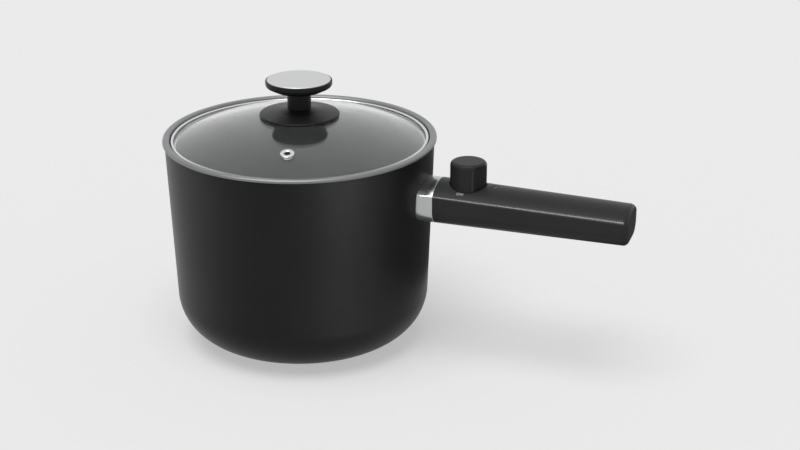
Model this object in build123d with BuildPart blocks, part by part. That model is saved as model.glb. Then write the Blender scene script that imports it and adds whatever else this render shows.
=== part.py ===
from build123d import *
import os
from math import cos, radians, sin, sqrt

# Electric hot pot: a coated vessel hung in an outer shell, a long side handle
# with a rotary switch, and a loose domed glass lid with a centre knob.
# Millimetres. The vessel's axis is Z, the table is z = 0, the handle points to +X.

# clearances
press_gap = 0.05         # between a shaft or spigot and the hole it sits in, all round
seam_gap = 0.15          # shut line between two mouldings
contact_gap = 0.1        # between curved faces that seat on each other
running_gap = 0.05       # shaft in its bush
moving_gap = 0.4         # between bodies that move apart

# outer shell
rim_height = 135.3       # top of the vessel's flange above the table
foot_height = 2.0        # how far the foot ring stands out of the base
shell_top_radius = 85.4
shell_taper = 5.2        # the shell's foot is this much smaller than its top, in radius
shell_flat = 0.9         # flat ring between the base cover and the shell's big round
shell_wall = 1.7
ledge_width = 4.0        # how far the ledge over the base cover reaches inwards
ledge_root = 3.0         # overlap of the ledge with the shell's floor
ledge_thickness = 2.0

# vessel
pot_wall = 1.0
pot_floor = 33.0         # inside floor above the table
pot_taper = 4.6          # the floor is this much smaller than the mouth, in radius
pot_corner_radius = 14.0
seat_inset = 3.2         # from the shell's outside to the wall round the lid's seat
seat_width = 4.6         # width of the step that carries the lid
seat_depth = 7.0
seat_bend = 1.7          # middle radius of the bend from wall to seat
flange_overhang = 1.2    # how far the flange stands out past the shell
flange_drop = 2.2        # height of the rolled edge
flange_bend = 0.9        # middle radius of the flange's bends
seal_thickness = 0.8

# base
cover_radius = 48.8
cover_thickness = 2.2
spigot_wall = 1.6
spigot_height = 2.6
stud_circle_radius = 30.0
stud_count = 3
stud_first_angle = 60.0
cover_boss_radius = 5.4
shield_height = 14.0     # underside of the heat shield above the table
shield_inset = 5.8       # the shield is this much smaller than the cover, in radius
shield_thickness = 0.6
foot_inset = 2.8         # and the foot ring this much
foot_width = 6.0
foot_groove_depth = 1.2
foot_round = 0.8
base_screw_radius = 1.95
base_screw_length = 18.0
base_head_radius = 3.7
base_head_height = 2.2
head_recess = 0.4        # the screw heads lie this far inside the base
standoff_flats = 7.0
standoff_bore_depth = 10.0

# heater
plate_inset = 2.0        # the plate stops this far inside the vessel's flat floor
plate_thickness = 3.0
element_inset = 10.0     # from the plate's edge to the element's middle
element_width = 7.0
element_height = 5.5
element_round = 2.6
element_open_angle = 35.0   # each end of the element stands this far from +X
seal_bead_radius = 2.7
seal_bead_length = 4.0
pin_radius = 1.3
pin_length = 8.0

# thermostat and fuse
sensor_radius = 8.6
sensor_height = 2.0
thermostat_radius = 8.0
thermostat_height = 7.0
blade_width = 5.0
blade_thickness = 0.8
blade_length = 7.0
bracket_thickness = 0.8
bracket_width = 9.0
bracket_screw_offset = 13.5
plate_boss_radius = 3.4
plate_boss_height = 2.0
small_screw_radius = 1.45
small_head_radius = 2.8
small_head_height = 1.6
small_screw_length = 4.0
fuse_radius = 2.2
fuse_length = 12.0
fuse_x = 23.0            # middle of the fuse
fuse_y = 9.0
clip_thickness = 0.6
clip_width = 6.0
clip_tail = 9.0

# handle
handle_height = 100.3    # middle of the handle above the table
collar_reach = 7.6       # the collar ends this far outside the shell's top
handle_length = 121.0    # from the collar to the tail
root_width = 34.0
root_rise = 15.2         # from the handle's middle to the top of its arched roof
root_side_rise = 9.1     # and to the ridge where the roof meets the side
root_drop = 10.4         # and to its underside
tip_width = 32.4
tip_rise = 11.2
tip_side_rise = 6.2
tip_drop = 11.3
root_ridge_round = 2.6
tip_ridge_round = 4.0
bottom_round = 9.8
tip_edge_round = 3.4
handle_wall = 2.2
end_wall = 2.6
collar_wall = 1.2
parting_drop = 6.8       # the bottom cover's shut line, below the handle's middle
post_offset = 9.4
post_radius = 3.4
post_reach = 7.0         # length of the posts inside the handle
mount_screw_radius = 1.95
mount_screw_reach = 4.5  # how far the screws run past the handle's end wall
mount_head_radius = 3.0
mount_head_height = 1.7
hole_gap = 0.2           # clearance hole round a screw
strap_thickness = 1.3
strap_height = 17.0
strap_half_angle = 10.5
grommet_bore_radius = 4.4
grommet_hole_radius = 5.3
grommet_flange_radius = 5.8
grommet_flange_thickness = 1.0

# bottom cover of the handle
front_screw_setback = 53.0   # behind the handle's root
rear_screw_setback = 41.0    # before its tail
cover_screw_radius = 1.4
cover_screw_length = 11.0
cover_head_radius = 2.7
cover_head_height = 1.8
cover_head_recess = 2.6
boss_radius = 3.9
boss_bore_depth = 9.8

# rotary switch and dial
dial_setback = 18.1      # behind the handle's root
dial_radius = 11.35
dial_height = 17.7
dial_round = 2.6
dial_bore_radius = 8.5
dial_top_thickness = 2.4
hub_radius = 5.2
hub_lift = 5.0           # the hub stops this far above the dial's lower edge
dial_recess_depth = 3.1  # the dial's pocket is sunk this far into the arched roof
dial_seat_thickness = 2.0
scoop_radius = 16.0
scoop_depth = 1.5
scoop_top = 1.0          # the finger scoops stop this far below the dial's top
scoop_angle = -33.0
switch_length = 18.0
switch_width = 16.0
switch_height = 6.4
switch_cavity_radius = 6.4
switch_roof = 1.6
switch_base_thickness = 1.2
bush_radius = 4.4
bush_height = 6.0
nut_flats = 11.0
nut_thickness = 2.2
shaft_radius = 3.0
shaft_flat_depth = 1.2
shaft_tip_gap = 1.0
rotor_radius = 5.6
rotor_thickness = 2.2
switch_blade_length = 4.6
switch_blade_inset = 1.6

# indicator light
lens_setback = 17.4      # behind the dial's axis
lens_radius = 1.9
lens_flange_radius = 2.8
lens_flange_thickness = 0.8
lamp_radius = 2.3
lamp_length = 6.0
lamp_boss_wall = 1.0

# mains connections
block_setback = 24.0     # before the handle's tail
block_length = 14.0
block_width = 17.0
block_height = 9.0
block_pad_height = 1.6
block_port_radius = 1.5
block_port_offset = 4.5
block_screw_length = 7.0
gland_setback = 10.0
gland_bore_radius = 3.3
gland_neck_radius = 4.9
gland_flange_radius = 6.4
gland_flange_thickness = 1.4

# wiring
lead_radius = 1.0
lead_spread = 2.6        # sideways distance of the outer leads through the shell
lead_bend = 3.6
corner_lead_inset = 18.5    # the leads round the shell's lower corner on an arc this much tighter
handle_lead_bend = 16.0
lead_setout = 6.3        # sideways distance of the leads past the cover screws

# lid
lid_side_gap = 0.6       # all round, between the lid and the wall of its seat
lid_band = 0.5           # sheet thickness of the steel rim
lid_rim_bend = 0.5
lid_bead_width = 1.9     # the raised bead at the rim's top, across
lid_bead_height = 0.8    # and how far it stands above the glass
lid_rim_under = 4.2      # how far the rim reaches in under the glass
lid_drop_gap = 0.2       # between the rim and the seat
glass_thickness = 3.0
dome_height = 16.8       # rise of the glass from its edge to its middle
glass_hole_radius = 3.2
vent_inset = 25.4        # from the lid's edge to the vent
vent_angle = -76.1
vent_hole_radius = 3.0
vent_bore_radius = 1.9
vent_flange_radius = 4.3
vent_flange_thickness = 0.6

# knob
gasket_radius = 9.0
gasket_thickness = 1.0
skirt_radius = 25.3
skirt_edge = 1.4
skirt_rise = 3.6         # height of the skirt's cone from its edge to the neck
skirt_round = 0.5
neck_radius = 7.5
neck_height = 11.2
head_radius = 21.0
head_under_radius = 15.0
head_under_rise = 1.4
head_flare_rise = 3.0
head_rim_height = 2.6
head_round = 0.7
inlay_radius = 20.0
inlay_thickness = 1.2
inlay_depth = 0.8        # how deep the disc sits in the knob's top
inlay_bevel = 0.35
insert_radius = 4.2
insert_length = 9.0
knob_screw_radius = 2.4
knob_screw_head_radius = 4.6
knob_screw_head_height = 2.4
washer_radius = 8.0
washer_thickness = 1.0

# radii and places that follow
shell_base_radius = shell_top_radius - shell_taper
shell_corner_radius = shell_base_radius - cover_radius - shell_flat
base_lead_bend = shell_corner_radius - corner_lead_inset
foot_outer_radius = cover_radius - foot_inset
shield_radius = cover_radius - shield_inset
flange_radius = shell_top_radius + flange_overhang
seat_radius = shell_top_radius - seat_inset
mouth_radius = seat_radius - seat_width
pot_base_radius = mouth_radius - pot_taper
plate_radius = pot_base_radius - pot_corner_radius - plate_inset
element_radius = plate_radius - element_inset
lid_radius = seat_radius - lid_side_gap
vent_distance = lid_radius - vent_inset
collar_end = shell_top_radius + collar_reach
handle_end = collar_end + handle_length
dial_x = collar_end + dial_setback
lens_x = dial_x + lens_setback
block_x = handle_end - block_setback
gland_x = handle_end - gland_setback
cover_screw_places = (collar_end + front_screw_setback, handle_end - rear_screw_setback)

# heights that follow
cover_top = foot_height + cover_thickness
ledge_radius = cover_radius - ledge_width
flange_underside = rim_height - pot_wall
shell_top = flange_underside - seal_thickness
seat_height = rim_height - seat_depth
pot_underside = pot_floor - pot_wall
plate_underside = pot_underside - plate_thickness
element_middle = plate_underside - element_height / 2
shield_top = shield_height + shield_thickness
handle_depth = root_rise + root_drop


def between(value, start, end, start_size, end_size):
    # straight-line change of a size from one place to another
    return start_size + (end_size - start_size) * (value - start) / (end - start)


def shell_radius(z):
    # outside of the shell's tapered wall
    return between(z, foot_height, rim_height, shell_base_radius, shell_top_radius)


def pot_radius(z):
    # outside of the vessel's tapered wall
    return pot_wall + between(z, pot_floor, seat_height, pot_base_radius, mouth_radius)


def gap_radius(z):
    # middle of the space between vessel and shell
    return (pot_radius(z) + shell_radius(z) - shell_wall) / 2


def radial_plane(angle):
    # upright plane through the vessel's axis
    turn = radians(angle)
    return Plane(origin=(0, 0, 0), x_dir=(cos(turn), sin(turn), 0), z_dir=(sin(turn), -cos(turn), 0))


def across_handle(x):
    # plane square to the handle, its middle on the handle's middle line
    return Plane(origin=(x, 0, handle_height), x_dir=(0, 1, 0), z_dir=(1, 0, 0))


def handle_top(x):
    return handle_height + between(x, collar_end, handle_end, root_rise, tip_rise)


def handle_bottom(x):
    return handle_height - between(x, collar_end, handle_end, root_drop, tip_drop)


def handle_outline(x, inset):
    # outline of the handle at x under its arched roof, drawn in by inset
    half_width = between(x, collar_end, handle_end, root_width, tip_width) / 2
    rise = handle_top(x) - handle_height
    arch_rise = rise - between(x, collar_end, handle_end, root_side_rise, tip_side_rise)
    arch_radius = (half_width**2 + arch_rise**2) / (2 * arch_rise)
    ridge_round = between(x, collar_end, handle_end, root_ridge_round, tip_ridge_round)
    side = half_width - inset
    top = rise - inset
    ridge = rise - arch_radius + sqrt((arch_radius - inset) ** 2 - side**2)
    bottom = handle_bottom(x) - handle_height + inset
    with BuildSketch(across_handle(x)) as outline:
        with BuildLine():
            Polyline((-side, ridge), (-side, bottom), (side, bottom), (side, ridge))
            ThreePointArc((side, ridge), (0, top), (-side, ridge))
        make_face()
        corners = outline.vertices()
        fillet(corners.group_by(Axis.Y)[-1], ridge_round - inset / 2)
        fillet(corners.group_by(Axis.Y)[0], bottom_round - inset)
    return outline.sketch


def handle_form():
    # closed form of the handle with its rounded tail
    with BuildPart() as form:
        loft([handle_outline(collar_end, 0), handle_outline(handle_end, 0)])
        fillet(form.faces().sort_by(Axis.X)[-1].edges(), tip_edge_round)
    return form.part


def handle_hollow():
    # space inside the handle
    front = collar_end + end_wall
    back = handle_end - end_wall
    with BuildPart() as hollow:
        loft([handle_outline(front, handle_wall), handle_outline(back, handle_wall)])
    return hollow.part


def shell_envelope(gap):
    # solid cone a little larger than the shell, to trim what seats on it
    with BuildPart() as envelope:
        with BuildSketch(Plane.XZ):
            with BuildLine():
                Polyline(
                    (0, 0),
                    (shell_radius(0) + gap, 0),
                    (shell_radius(rim_height) + gap, rim_height),
                    (0, rim_height),
                    close=True,
                )
            make_face()
        revolve(axis=Axis.Z)
    return envelope.part


def lead(points, bends):
    # a sleeved wire along a route of straight runs and arcs
    with BuildPart() as wire:
        with BuildLine():
            route = FilletPolyline(*points, radius=bends)
        with BuildSketch(Plane(origin=route @ 0, z_dir=route % 0)):
            Circle(lead_radius)
        sweep(path=route)
    return wire.part


def save(piece, name):
    piece.label = name
    export_step(piece, f"parts/{name}.step")


os.makedirs("parts", exist_ok=True)

# ---------------------------------------------------------------- vessel and shell

with BuildPart() as outer_shell:
    wall_middle = shell_wall / 2
    with BuildSketch(Plane.XZ):
        with BuildLine():
            FilletPolyline(
                (cover_radius + seam_gap, foot_height + wall_middle),
                (shell_base_radius - wall_middle, foot_height + wall_middle),
                (shell_radius(rim_height) - wall_middle, rim_height),
                radius=shell_corner_radius - wall_middle,
            )
        trace(line_width=shell_wall)
    revolve(axis=Axis.Z)
    split(bisect_by=Plane.XY.offset(shell_top), keep=Keep.BOTTOM)
    # ledge that the base cover seats against
    with BuildSketch(Plane.XY.offset(cover_top)):
        Circle(cover_radius + ledge_root)
        Circle(ledge_radius, mode=Mode.SUBTRACT)
    extrude(amount=ledge_thickness)
    with BuildSketch(Plane.XY.offset(foot_height)):
        Circle(cover_radius + ledge_root)
        Circle(cover_radius + seam_gap, mode=Mode.SUBTRACT)
    extrude(amount=cover_thickness)
    # holes for the leads and the handle's screws
    with BuildSketch(across_handle(0)):
        Circle(grommet_hole_radius)
        with Locations((-post_offset, 0), (post_offset, 0)):
            Circle(mount_screw_radius + hole_gap)
    extrude(amount=collar_end, mode=Mode.SUBTRACT)
save(outer_shell.part, "outer_shell")

with BuildPart() as inner_pot:
    half = pot_wall / 2
    with BuildSketch(Plane.XZ):
        with BuildLine():
            FilletPolyline(
                (0, pot_floor - half),
                (pot_base_radius + half, pot_floor - half),
                (mouth_radius + half, seat_height - half),
                (seat_radius + half, seat_height - half),
                (seat_radius + half, rim_height - half),
                (flange_radius - half, rim_height - half),
                (flange_radius - half, rim_height - flange_drop),
                radius=[pot_corner_radius + half, seat_bend, flange_bend, flange_bend, flange_bend],
            )
        trace(line_width=pot_wall)
    revolve(axis=Axis.Z)
save(inner_pot.part, "inner_pot")

with BuildPart() as rim_seal:
    # it lies on the flat of the flange's underside, between the two bends
    bend_inside = flange_bend - pot_wall / 2
    with BuildSketch(Plane.XY.offset(shell_top)):
        Circle(flange_radius - pot_wall - bend_inside - contact_gap)
        Circle(seat_radius + pot_wall + bend_inside + contact_gap, mode=Mode.SUBTRACT)
    extrude(amount=seal_thickness)
save(rim_seal.part, "rim_seal")

# ---------------------------------------------------------------- base

stud_places = PolarLocations(stud_circle_radius, stud_count, start_angle=stud_first_angle)

with BuildPart() as base_cover:
    with BuildSketch(Plane.XY.offset(foot_height)):
        Circle(cover_radius)
    extrude(amount=cover_thickness)
    with BuildSketch(Plane.XY.offset(cover_top)):
        Circle(ledge_radius - seam_gap)
        Circle(ledge_radius - seam_gap - spigot_wall, mode=Mode.SUBTRACT)
    extrude(amount=spigot_height)
    with BuildSketch(Plane.XY.offset(foot_height)):
        with stud_places:
            Circle(cover_boss_radius)
    extrude(amount=shield_height - foot_height)
    # groove for the foot ring
    with BuildSketch(Plane.XY.offset(foot_height)):
        Circle(foot_outer_radius)
        Circle(foot_outer_radius - foot_width, mode=Mode.SUBTRACT)
    extrude(amount=foot_groove_depth, mode=Mode.SUBTRACT)
    # screw holes with a recess for each head
    with BuildSketch(Plane.XY.offset(foot_height)):
        with stud_places:
            Circle(base_screw_radius + hole_gap)
    extrude(amount=shield_height - foot_height, mode=Mode.SUBTRACT)
    with BuildSketch(Plane.XY.offset(foot_height)):
        with stud_places:
            Circle(base_head_radius + hole_gap)
    extrude(amount=head_recess + base_head_height, mode=Mode.SUBTRACT)
save(base_cover.part, "base_cover")

with BuildPart() as ring_foot:
    with BuildSketch(Plane.XY):
        Circle(foot_outer_radius - press_gap)
        Circle(foot_outer_radius - foot_width + press_gap, mode=Mode.SUBTRACT)
    extrude(amount=foot_height + foot_groove_depth)
    fillet(ring_foot.edges().group_by(Axis.Z)[0], foot_round)
save(ring_foot.part, "ring_foot")

with BuildPart() as base_screws:
    head_seat = foot_height + head_recess + base_head_height
    with BuildSketch(Plane.XY.offset(head_seat - base_head_height)):
        with stud_places:
            Circle(base_head_radius)
    extrude(amount=base_head_height)
    with BuildSketch(Plane.XY.offset(head_seat)):
        with stud_places:
            Circle(base_screw_radius)
    extrude(amount=base_screw_length)
save(base_screws.part, "base_screws")

with BuildPart() as heat_shield:
    with BuildSketch(Plane.XY.offset(shield_height)):
        Circle(shield_radius)
        with stud_places:
            Circle(base_screw_radius + hole_gap, mode=Mode.SUBTRACT)
    extrude(amount=shield_thickness)
save(heat_shield.part, "heat_shield")

with BuildPart() as standoffs:
    with BuildSketch(Plane.XY.offset(shield_top)):
        with stud_places:
            RegularPolygon(standoff_flats / 2, 6, major_radius=False)
    extrude(amount=plate_underside - shield_top)
    with BuildSketch(Plane.XY.offset(shield_top)):
        with stud_places:
            Circle(base_screw_radius + press_gap)
    extrude(amount=standoff_bore_depth, mode=Mode.SUBTRACT)
save(standoffs.part, "standoffs")

# ---------------------------------------------------------------- heater

sensor_bottom = plate_underside - sensor_height
bracket_top = sensor_bottom
bracket_bottom = bracket_top - bracket_thickness
clip_bolt_y = fuse_y + clip_tail
bracket_screw_points = ((0, bracket_screw_offset), (0, -bracket_screw_offset))
clip_screw_point = (fuse_x, clip_bolt_y)

with BuildPart() as heater_plate:
    with BuildSketch(Plane.XY.offset(plate_underside)):
        Circle(plate_radius)
    extrude(amount=plate_thickness)
    with BuildSketch(Plane.XY.offset(plate_underside)):
        with Locations(*bracket_screw_points):
            Circle(plate_boss_radius)
    extrude(amount=-plate_boss_height)
    with BuildSketch(Plane.XY.offset(plate_underside - plate_boss_height)):
        with Locations(*bracket_screw_points, clip_screw_point):
            Circle(small_screw_radius + press_gap)
    extrude(amount=small_screw_length, mode=Mode.SUBTRACT)
save(heater_plate.part, "heater_plate")

with BuildPart() as heating_element:
    with BuildSketch(radial_plane(element_open_angle)):
        with Locations((element_radius, element_middle)):
            RectangleRounded(element_width, element_height, element_round)
    revolve(axis=Axis.Z, revolution_arc=360 - 2 * element_open_angle)
save(heating_element.part, "heating_element")


def element_end(side):
    # plane on an end of the element, facing out of it; side is 1 or -1 in Y
    turn = radians(element_open_angle)
    place = (element_radius * cos(turn), side * element_radius * sin(turn), element_middle)
    return Plane(origin=place, z_dir=(sin(turn), -side * cos(turn), 0))


with BuildPart() as element_seals:
    for side in (1, -1):
        with BuildSketch(element_end(side)):
            Circle(seal_bead_radius)
            Circle(pin_radius + press_gap, mode=Mode.SUBTRACT)
        extrude(amount=seal_bead_length)
save(element_seals.part, "element_seals")

with BuildPart() as element_pins:
    for side in (1, -1):
        with BuildSketch(element_end(side)):
            Circle(pin_radius)
        extrude(amount=seal_bead_length + pin_length)
save(element_pins.part, "element_pins")

with BuildPart() as thermostat_sensor:
    with BuildSketch(Plane.XY.offset(sensor_bottom)):
        Circle(sensor_radius)
    extrude(amount=sensor_height)
    fillet(thermostat_sensor.edges().group_by(Axis.Z)[-1], sensor_height / 4)
save(thermostat_sensor.part, "thermostat_sensor")

with BuildPart() as thermostat_body:
    with BuildSketch(Plane.XY.offset(sensor_bottom)):
        Circle(thermostat_radius)
    extrude(amount=-thermostat_height)
save(thermostat_body.part, "thermostat_body")

blade_height = sensor_bottom - thermostat_height + blade_thickness

with BuildPart() as thermostat_blades:
    for side in (1, -1):
        with BuildSketch(Plane.XY.offset(blade_height)):
            with Locations((side * (thermostat_radius + contact_gap + blade_length / 2), 0)):
                Rectangle(blade_length, blade_width)
        extrude(amount=blade_thickness)
save(thermostat_blades.part, "thermostat_blades")

with BuildPart() as thermostat_bracket:
    with BuildSketch(Plane.XY.offset(bracket_bottom)):
        SlotCenterToCenter(2 * bracket_screw_offset, bracket_width, rotation=90)
        Circle(sensor_radius + spigot_wall)
        Circle(thermostat_radius + press_gap, mode=Mode.SUBTRACT)
        with Locations(*bracket_screw_points):
            Circle(small_screw_radius + hole_gap, mode=Mode.SUBTRACT)
    extrude(amount=bracket_thickness)
save(thermostat_bracket.part, "thermostat_bracket")

fuse_height = plate_underside - fuse_radius - contact_gap

with BuildPart() as thermal_fuse:
    with BuildSketch(Plane(origin=(fuse_x, fuse_y, fuse_height), z_dir=(1, 0, 0))):
        Circle(fuse_radius)
    extrude(amount=fuse_length / 2, both=True)
save(thermal_fuse.part, "thermal_fuse")

with BuildPart() as fuse_clip:
    clip_middle = clip_thickness / 2
    loop_radius = fuse_radius + contact_gap + clip_middle
    foot_line = plate_underside - clip_middle
    with BuildSketch(Plane.YZ.offset(fuse_x)):
        with BuildLine():
            Line((clip_bolt_y + small_head_radius, foot_line), (fuse_y + loop_radius, foot_line))
            Line((fuse_y + loop_radius, foot_line), (fuse_y + loop_radius, fuse_height))
            CenterArc((fuse_y, fuse_height), loop_radius, 0, -180)
        trace(line_width=clip_thickness)
    extrude(amount=clip_width / 2, both=True)
    with BuildSketch(Plane.XY.offset(plate_underside)):
        with Locations(clip_screw_point):
            Circle(small_screw_radius + hole_gap)
    extrude(amount=-clip_width, mode=Mode.SUBTRACT)
save(fuse_clip.part, "fuse_clip")

with BuildPart() as plate_screws:
    screw_seats = [(point, bracket_bottom) for point in bracket_screw_points]
    screw_seats.append((clip_screw_point, plate_underside - clip_thickness))
    for point, seat in screw_seats:
        with BuildSketch(Plane.XY.offset(seat)):
            with Locations(point):
                Circle(small_head_radius)
        extrude(amount=-small_head_height)
        with BuildSketch(Plane.XY.offset(seat)):
            with Locations(point):
                Circle(small_screw_radius)
        extrude(amount=small_screw_length - plate_boss_height)
save(plate_screws.part, "plate_screws")

# ---------------------------------------------------------------- collar and mounting

strap_outer = shell_wall + contact_gap
strap_inner = strap_outer + strap_thickness
strap_low = handle_height - strap_height / 2
strap_high = handle_height + strap_height / 2

with BuildPart() as mounting_strap:
    with BuildSketch(radial_plane(-strap_half_angle)):
        with BuildLine():
            Polyline(
                (shell_radius(strap_low) - strap_inner, strap_low),
                (shell_radius(strap_low) - strap_outer, strap_low),
                (shell_radius(strap_high) - strap_outer, strap_high),
                (shell_radius(strap_high) - strap_inner, strap_high),
                close=True,
            )
        make_face()
    revolve(axis=Axis.Z, revolution_arc=2 * strap_half_angle)
    with BuildSketch(across_handle(0)):
        Circle(grommet_hole_radius)
        with Locations((-post_offset, 0), (post_offset, 0)):
            Circle(mount_screw_radius + hole_gap)
    extrude(amount=collar_end, mode=Mode.SUBTRACT)
save(mounting_strap.part, "mounting_strap")

# the heads bear on the strap's curved face where it comes furthest in
strap_face = shell_radius(handle_height - mount_head_radius) - strap_inner
head_plane_x = sqrt(strap_face**2 - (post_offset + mount_head_radius) ** 2)

with BuildPart() as mounting_screws:
    with BuildSketch(across_handle(head_plane_x)):
        with Locations((-post_offset, 0), (post_offset, 0)):
            Circle(mount_head_radius)
    extrude(amount=-mount_head_height)
    with BuildSketch(across_handle(head_plane_x)):
        with Locations((-post_offset, 0), (post_offset, 0)):
            Circle(mount_screw_radius)
    extrude(amount=collar_end + end_wall + mount_screw_reach - head_plane_x)
save(mounting_screws.part, "mounting_screws")

with BuildPart() as collar:
    extrude(handle_outline(collar_end, 0), amount=-collar_end / 2)
    extrude(handle_outline(collar_end, collar_wall), amount=-collar_end / 2, mode=Mode.SUBTRACT)
    add(shell_envelope(contact_gap), mode=Mode.SUBTRACT)
save(collar.part, "collar")

# ---------------------------------------------------------------- handle

parting = handle_height - parting_drop
outer_form = handle_form()
inner_form = handle_hollow()
recess_radius = dial_radius + moving_gap
recess_floor = handle_top(dial_x + recess_radius) - dial_recess_depth
ceiling = recess_floor - dial_seat_thickness
lens_top = handle_top(lens_x)
lens_ceiling = handle_top(lens_x + lens_flange_radius) - handle_wall
block_ceiling = handle_top(block_x + block_length / 2) - handle_wall - block_pad_height

# cup in the roof that the dial stands in
with BuildPart() as dial_cup:
    with BuildSketch(Plane.XY.offset(ceiling)):
        with Locations((dial_x, 0)):
            Circle(recess_radius + handle_wall)
    extrude(amount=root_rise)
    add(outer_form, mode=Mode.INTERSECT)

with BuildPart() as handle_body:
    add(outer_form)
    add(inner_form, mode=Mode.SUBTRACT)
    split(bisect_by=Plane.XY.offset(parting), keep=Keep.TOP)
    add(dial_cup.part)
    # posts through the collar that take the mounting screws
    with BuildSketch(across_handle(collar_end + end_wall + post_reach)):
        with Locations((-post_offset, 0), (post_offset, 0)):
            Circle(post_radius)
    extrude(amount=-post_reach - end_wall - collar_end / 2)
    add(shell_envelope(contact_gap), mode=Mode.SUBTRACT)
    # bosses for the bottom cover's screws, and the pad over the terminal block
    for x in cover_screw_places:
        with BuildSketch(Plane.XY.offset(parting)):
            with Locations((x, 0)):
                Circle(boss_radius)
        extrude(amount=handle_top(x) - handle_wall / 2 - parting)
    with BuildSketch(Plane.XY.offset(block_ceiling)):
        with Locations((block_x, 0)):
            Rectangle(block_length, block_width)
    extrude(amount=block_pad_height + handle_wall / 4)
    # sleeve round the indicator lamp
    with BuildSketch(Plane.XY.offset(lens_ceiling - lens_flange_thickness - lamp_length)):
        with Locations((lens_x, 0)):
            Circle(lens_flange_radius + press_gap + lamp_boss_wall)
    extrude(amount=lamp_length + lens_flange_thickness + handle_wall / 2)
    with BuildSketch(Plane.XY.offset(lens_ceiling - lens_flange_thickness - lamp_length)):
        with Locations((lens_x, 0)):
            Circle(lens_flange_radius + press_gap)
    extrude(amount=lamp_length + lens_flange_thickness, mode=Mode.SUBTRACT)
    with BuildSketch(Plane.XY.offset(lens_ceiling)):
        with Locations((lens_x, 0)):
            Circle(lens_radius + press_gap)
    extrude(amount=2 * handle_wall, mode=Mode.SUBTRACT)
    # seat and hole of the switch
    with BuildSketch(Plane.XY.offset(recess_floor)):
        with Locations((dial_x, 0)):
            Circle(recess_radius)
    extrude(amount=root_rise, mode=Mode.SUBTRACT)
    with BuildSketch(Plane.XY.offset(ceiling)):
        with Locations((dial_x, 0)):
            Circle(bush_radius + hole_gap)
    extrude(amount=2 * handle_wall, mode=Mode.SUBTRACT)
    # screw bores, the lead hole in the end wall and the screw pilots
    with BuildSketch(across_handle(collar_end / 2)):
        with Locations((-post_offset, 0), (post_offset, 0)):
            Circle(mount_screw_radius + press_gap)
    extrude(amount=collar_end / 2 + end_wall + post_reach, mode=Mode.SUBTRACT)
    with BuildSketch(across_handle(collar_end)):
        Circle(grommet_bore_radius)
    extrude(amount=end_wall, mode=Mode.SUBTRACT)
    with BuildSketch(Plane.XY.offset(parting)):
        with Locations(*[(x, 0) for x in cover_screw_places]):
            Circle(cover_screw_radius + press_gap)
    extrude(amount=boss_bore_depth, mode=Mode.SUBTRACT)
    with BuildSketch(Plane.XY.offset(block_ceiling)):
        with Locations((block_x, 0)):
            Circle(small_screw_radius + press_gap)
    extrude(amount=block_pad_height, mode=Mode.SUBTRACT)
save(handle_body.part, "handle_body")

cover_face = parting - seam_gap

with BuildPart() as handle_cover:
    add(outer_form)
    add(inner_form, mode=Mode.SUBTRACT)
    split(bisect_by=Plane.XY.offset(cover_face), keep=Keep.BOTTOM)
    for x in cover_screw_places:
        with BuildSketch(Plane.XY.offset(cover_face)):
            with Locations((x, 0)):
                Circle(boss_radius)
        extrude(amount=handle_bottom(x) + handle_wall / 2 - cover_face)
    for x in cover_screw_places:
        with BuildSketch(Plane.XY.offset(handle_bottom(x) + cover_head_recess)):
            with Locations((x, 0)):
                Circle(cover_head_radius + hole_gap)
        extrude(amount=-handle_depth, mode=Mode.SUBTRACT)
        with BuildSketch(Plane.XY.offset(cover_face)):
            with Locations((x, 0)):
                Circle(cover_screw_radius + hole_gap)
        extrude(amount=-handle_depth, mode=Mode.SUBTRACT)
    # hole and outer flat for the cord gland
    with BuildSketch(Plane.XY.offset(cover_face)):
        with Locations((gland_x, 0)):
            Circle(gland_neck_radius + press_gap)
    extrude(amount=-handle_depth, mode=Mode.SUBTRACT)
    with BuildSketch(Plane.XY.offset(handle_bottom(gland_x) + gland_flange_thickness)):
        with Locations((gland_x, 0)):
            Circle(gland_flange_radius + seam_gap)
    extrude(amount=-handle_depth, mode=Mode.SUBTRACT)
save(handle_cover.part, "handle_cover")

with BuildPart() as cover_screws:
    for x in cover_screw_places:
        head_seat = handle_bottom(x) + cover_head_recess
        with BuildSketch(Plane.XY.offset(head_seat)):
            with Locations((x, 0)):
                Circle(cover_head_radius)
        extrude(amount=-cover_head_height)
        with BuildSketch(Plane.XY.offset(head_seat)):
            with Locations((x, 0)):
                Circle(cover_screw_radius)
        extrude(amount=cover_screw_length)
save(cover_screws.part, "cover_screws")

with BuildPart() as lead_grommet:
    flange_face = shell_radius(handle_height + grommet_flange_radius) + contact_gap
    with BuildSketch(across_handle(gap_radius(handle_height))):
        Circle(grommet_hole_radius - press_gap)
    extrude(amount=flange_face - gap_radius(handle_height))
    add(shell_envelope(-strap_inner), mode=Mode.SUBTRACT)
    with BuildSketch(across_handle(flange_face)):
        Circle(grommet_flange_radius)
    extrude(amount=grommet_flange_thickness)
    with BuildSketch(across_handle(0)):
        Circle(grommet_bore_radius)
    extrude(amount=collar_end, mode=Mode.SUBTRACT)
save(lead_grommet.part, "lead_grommet")

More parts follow.
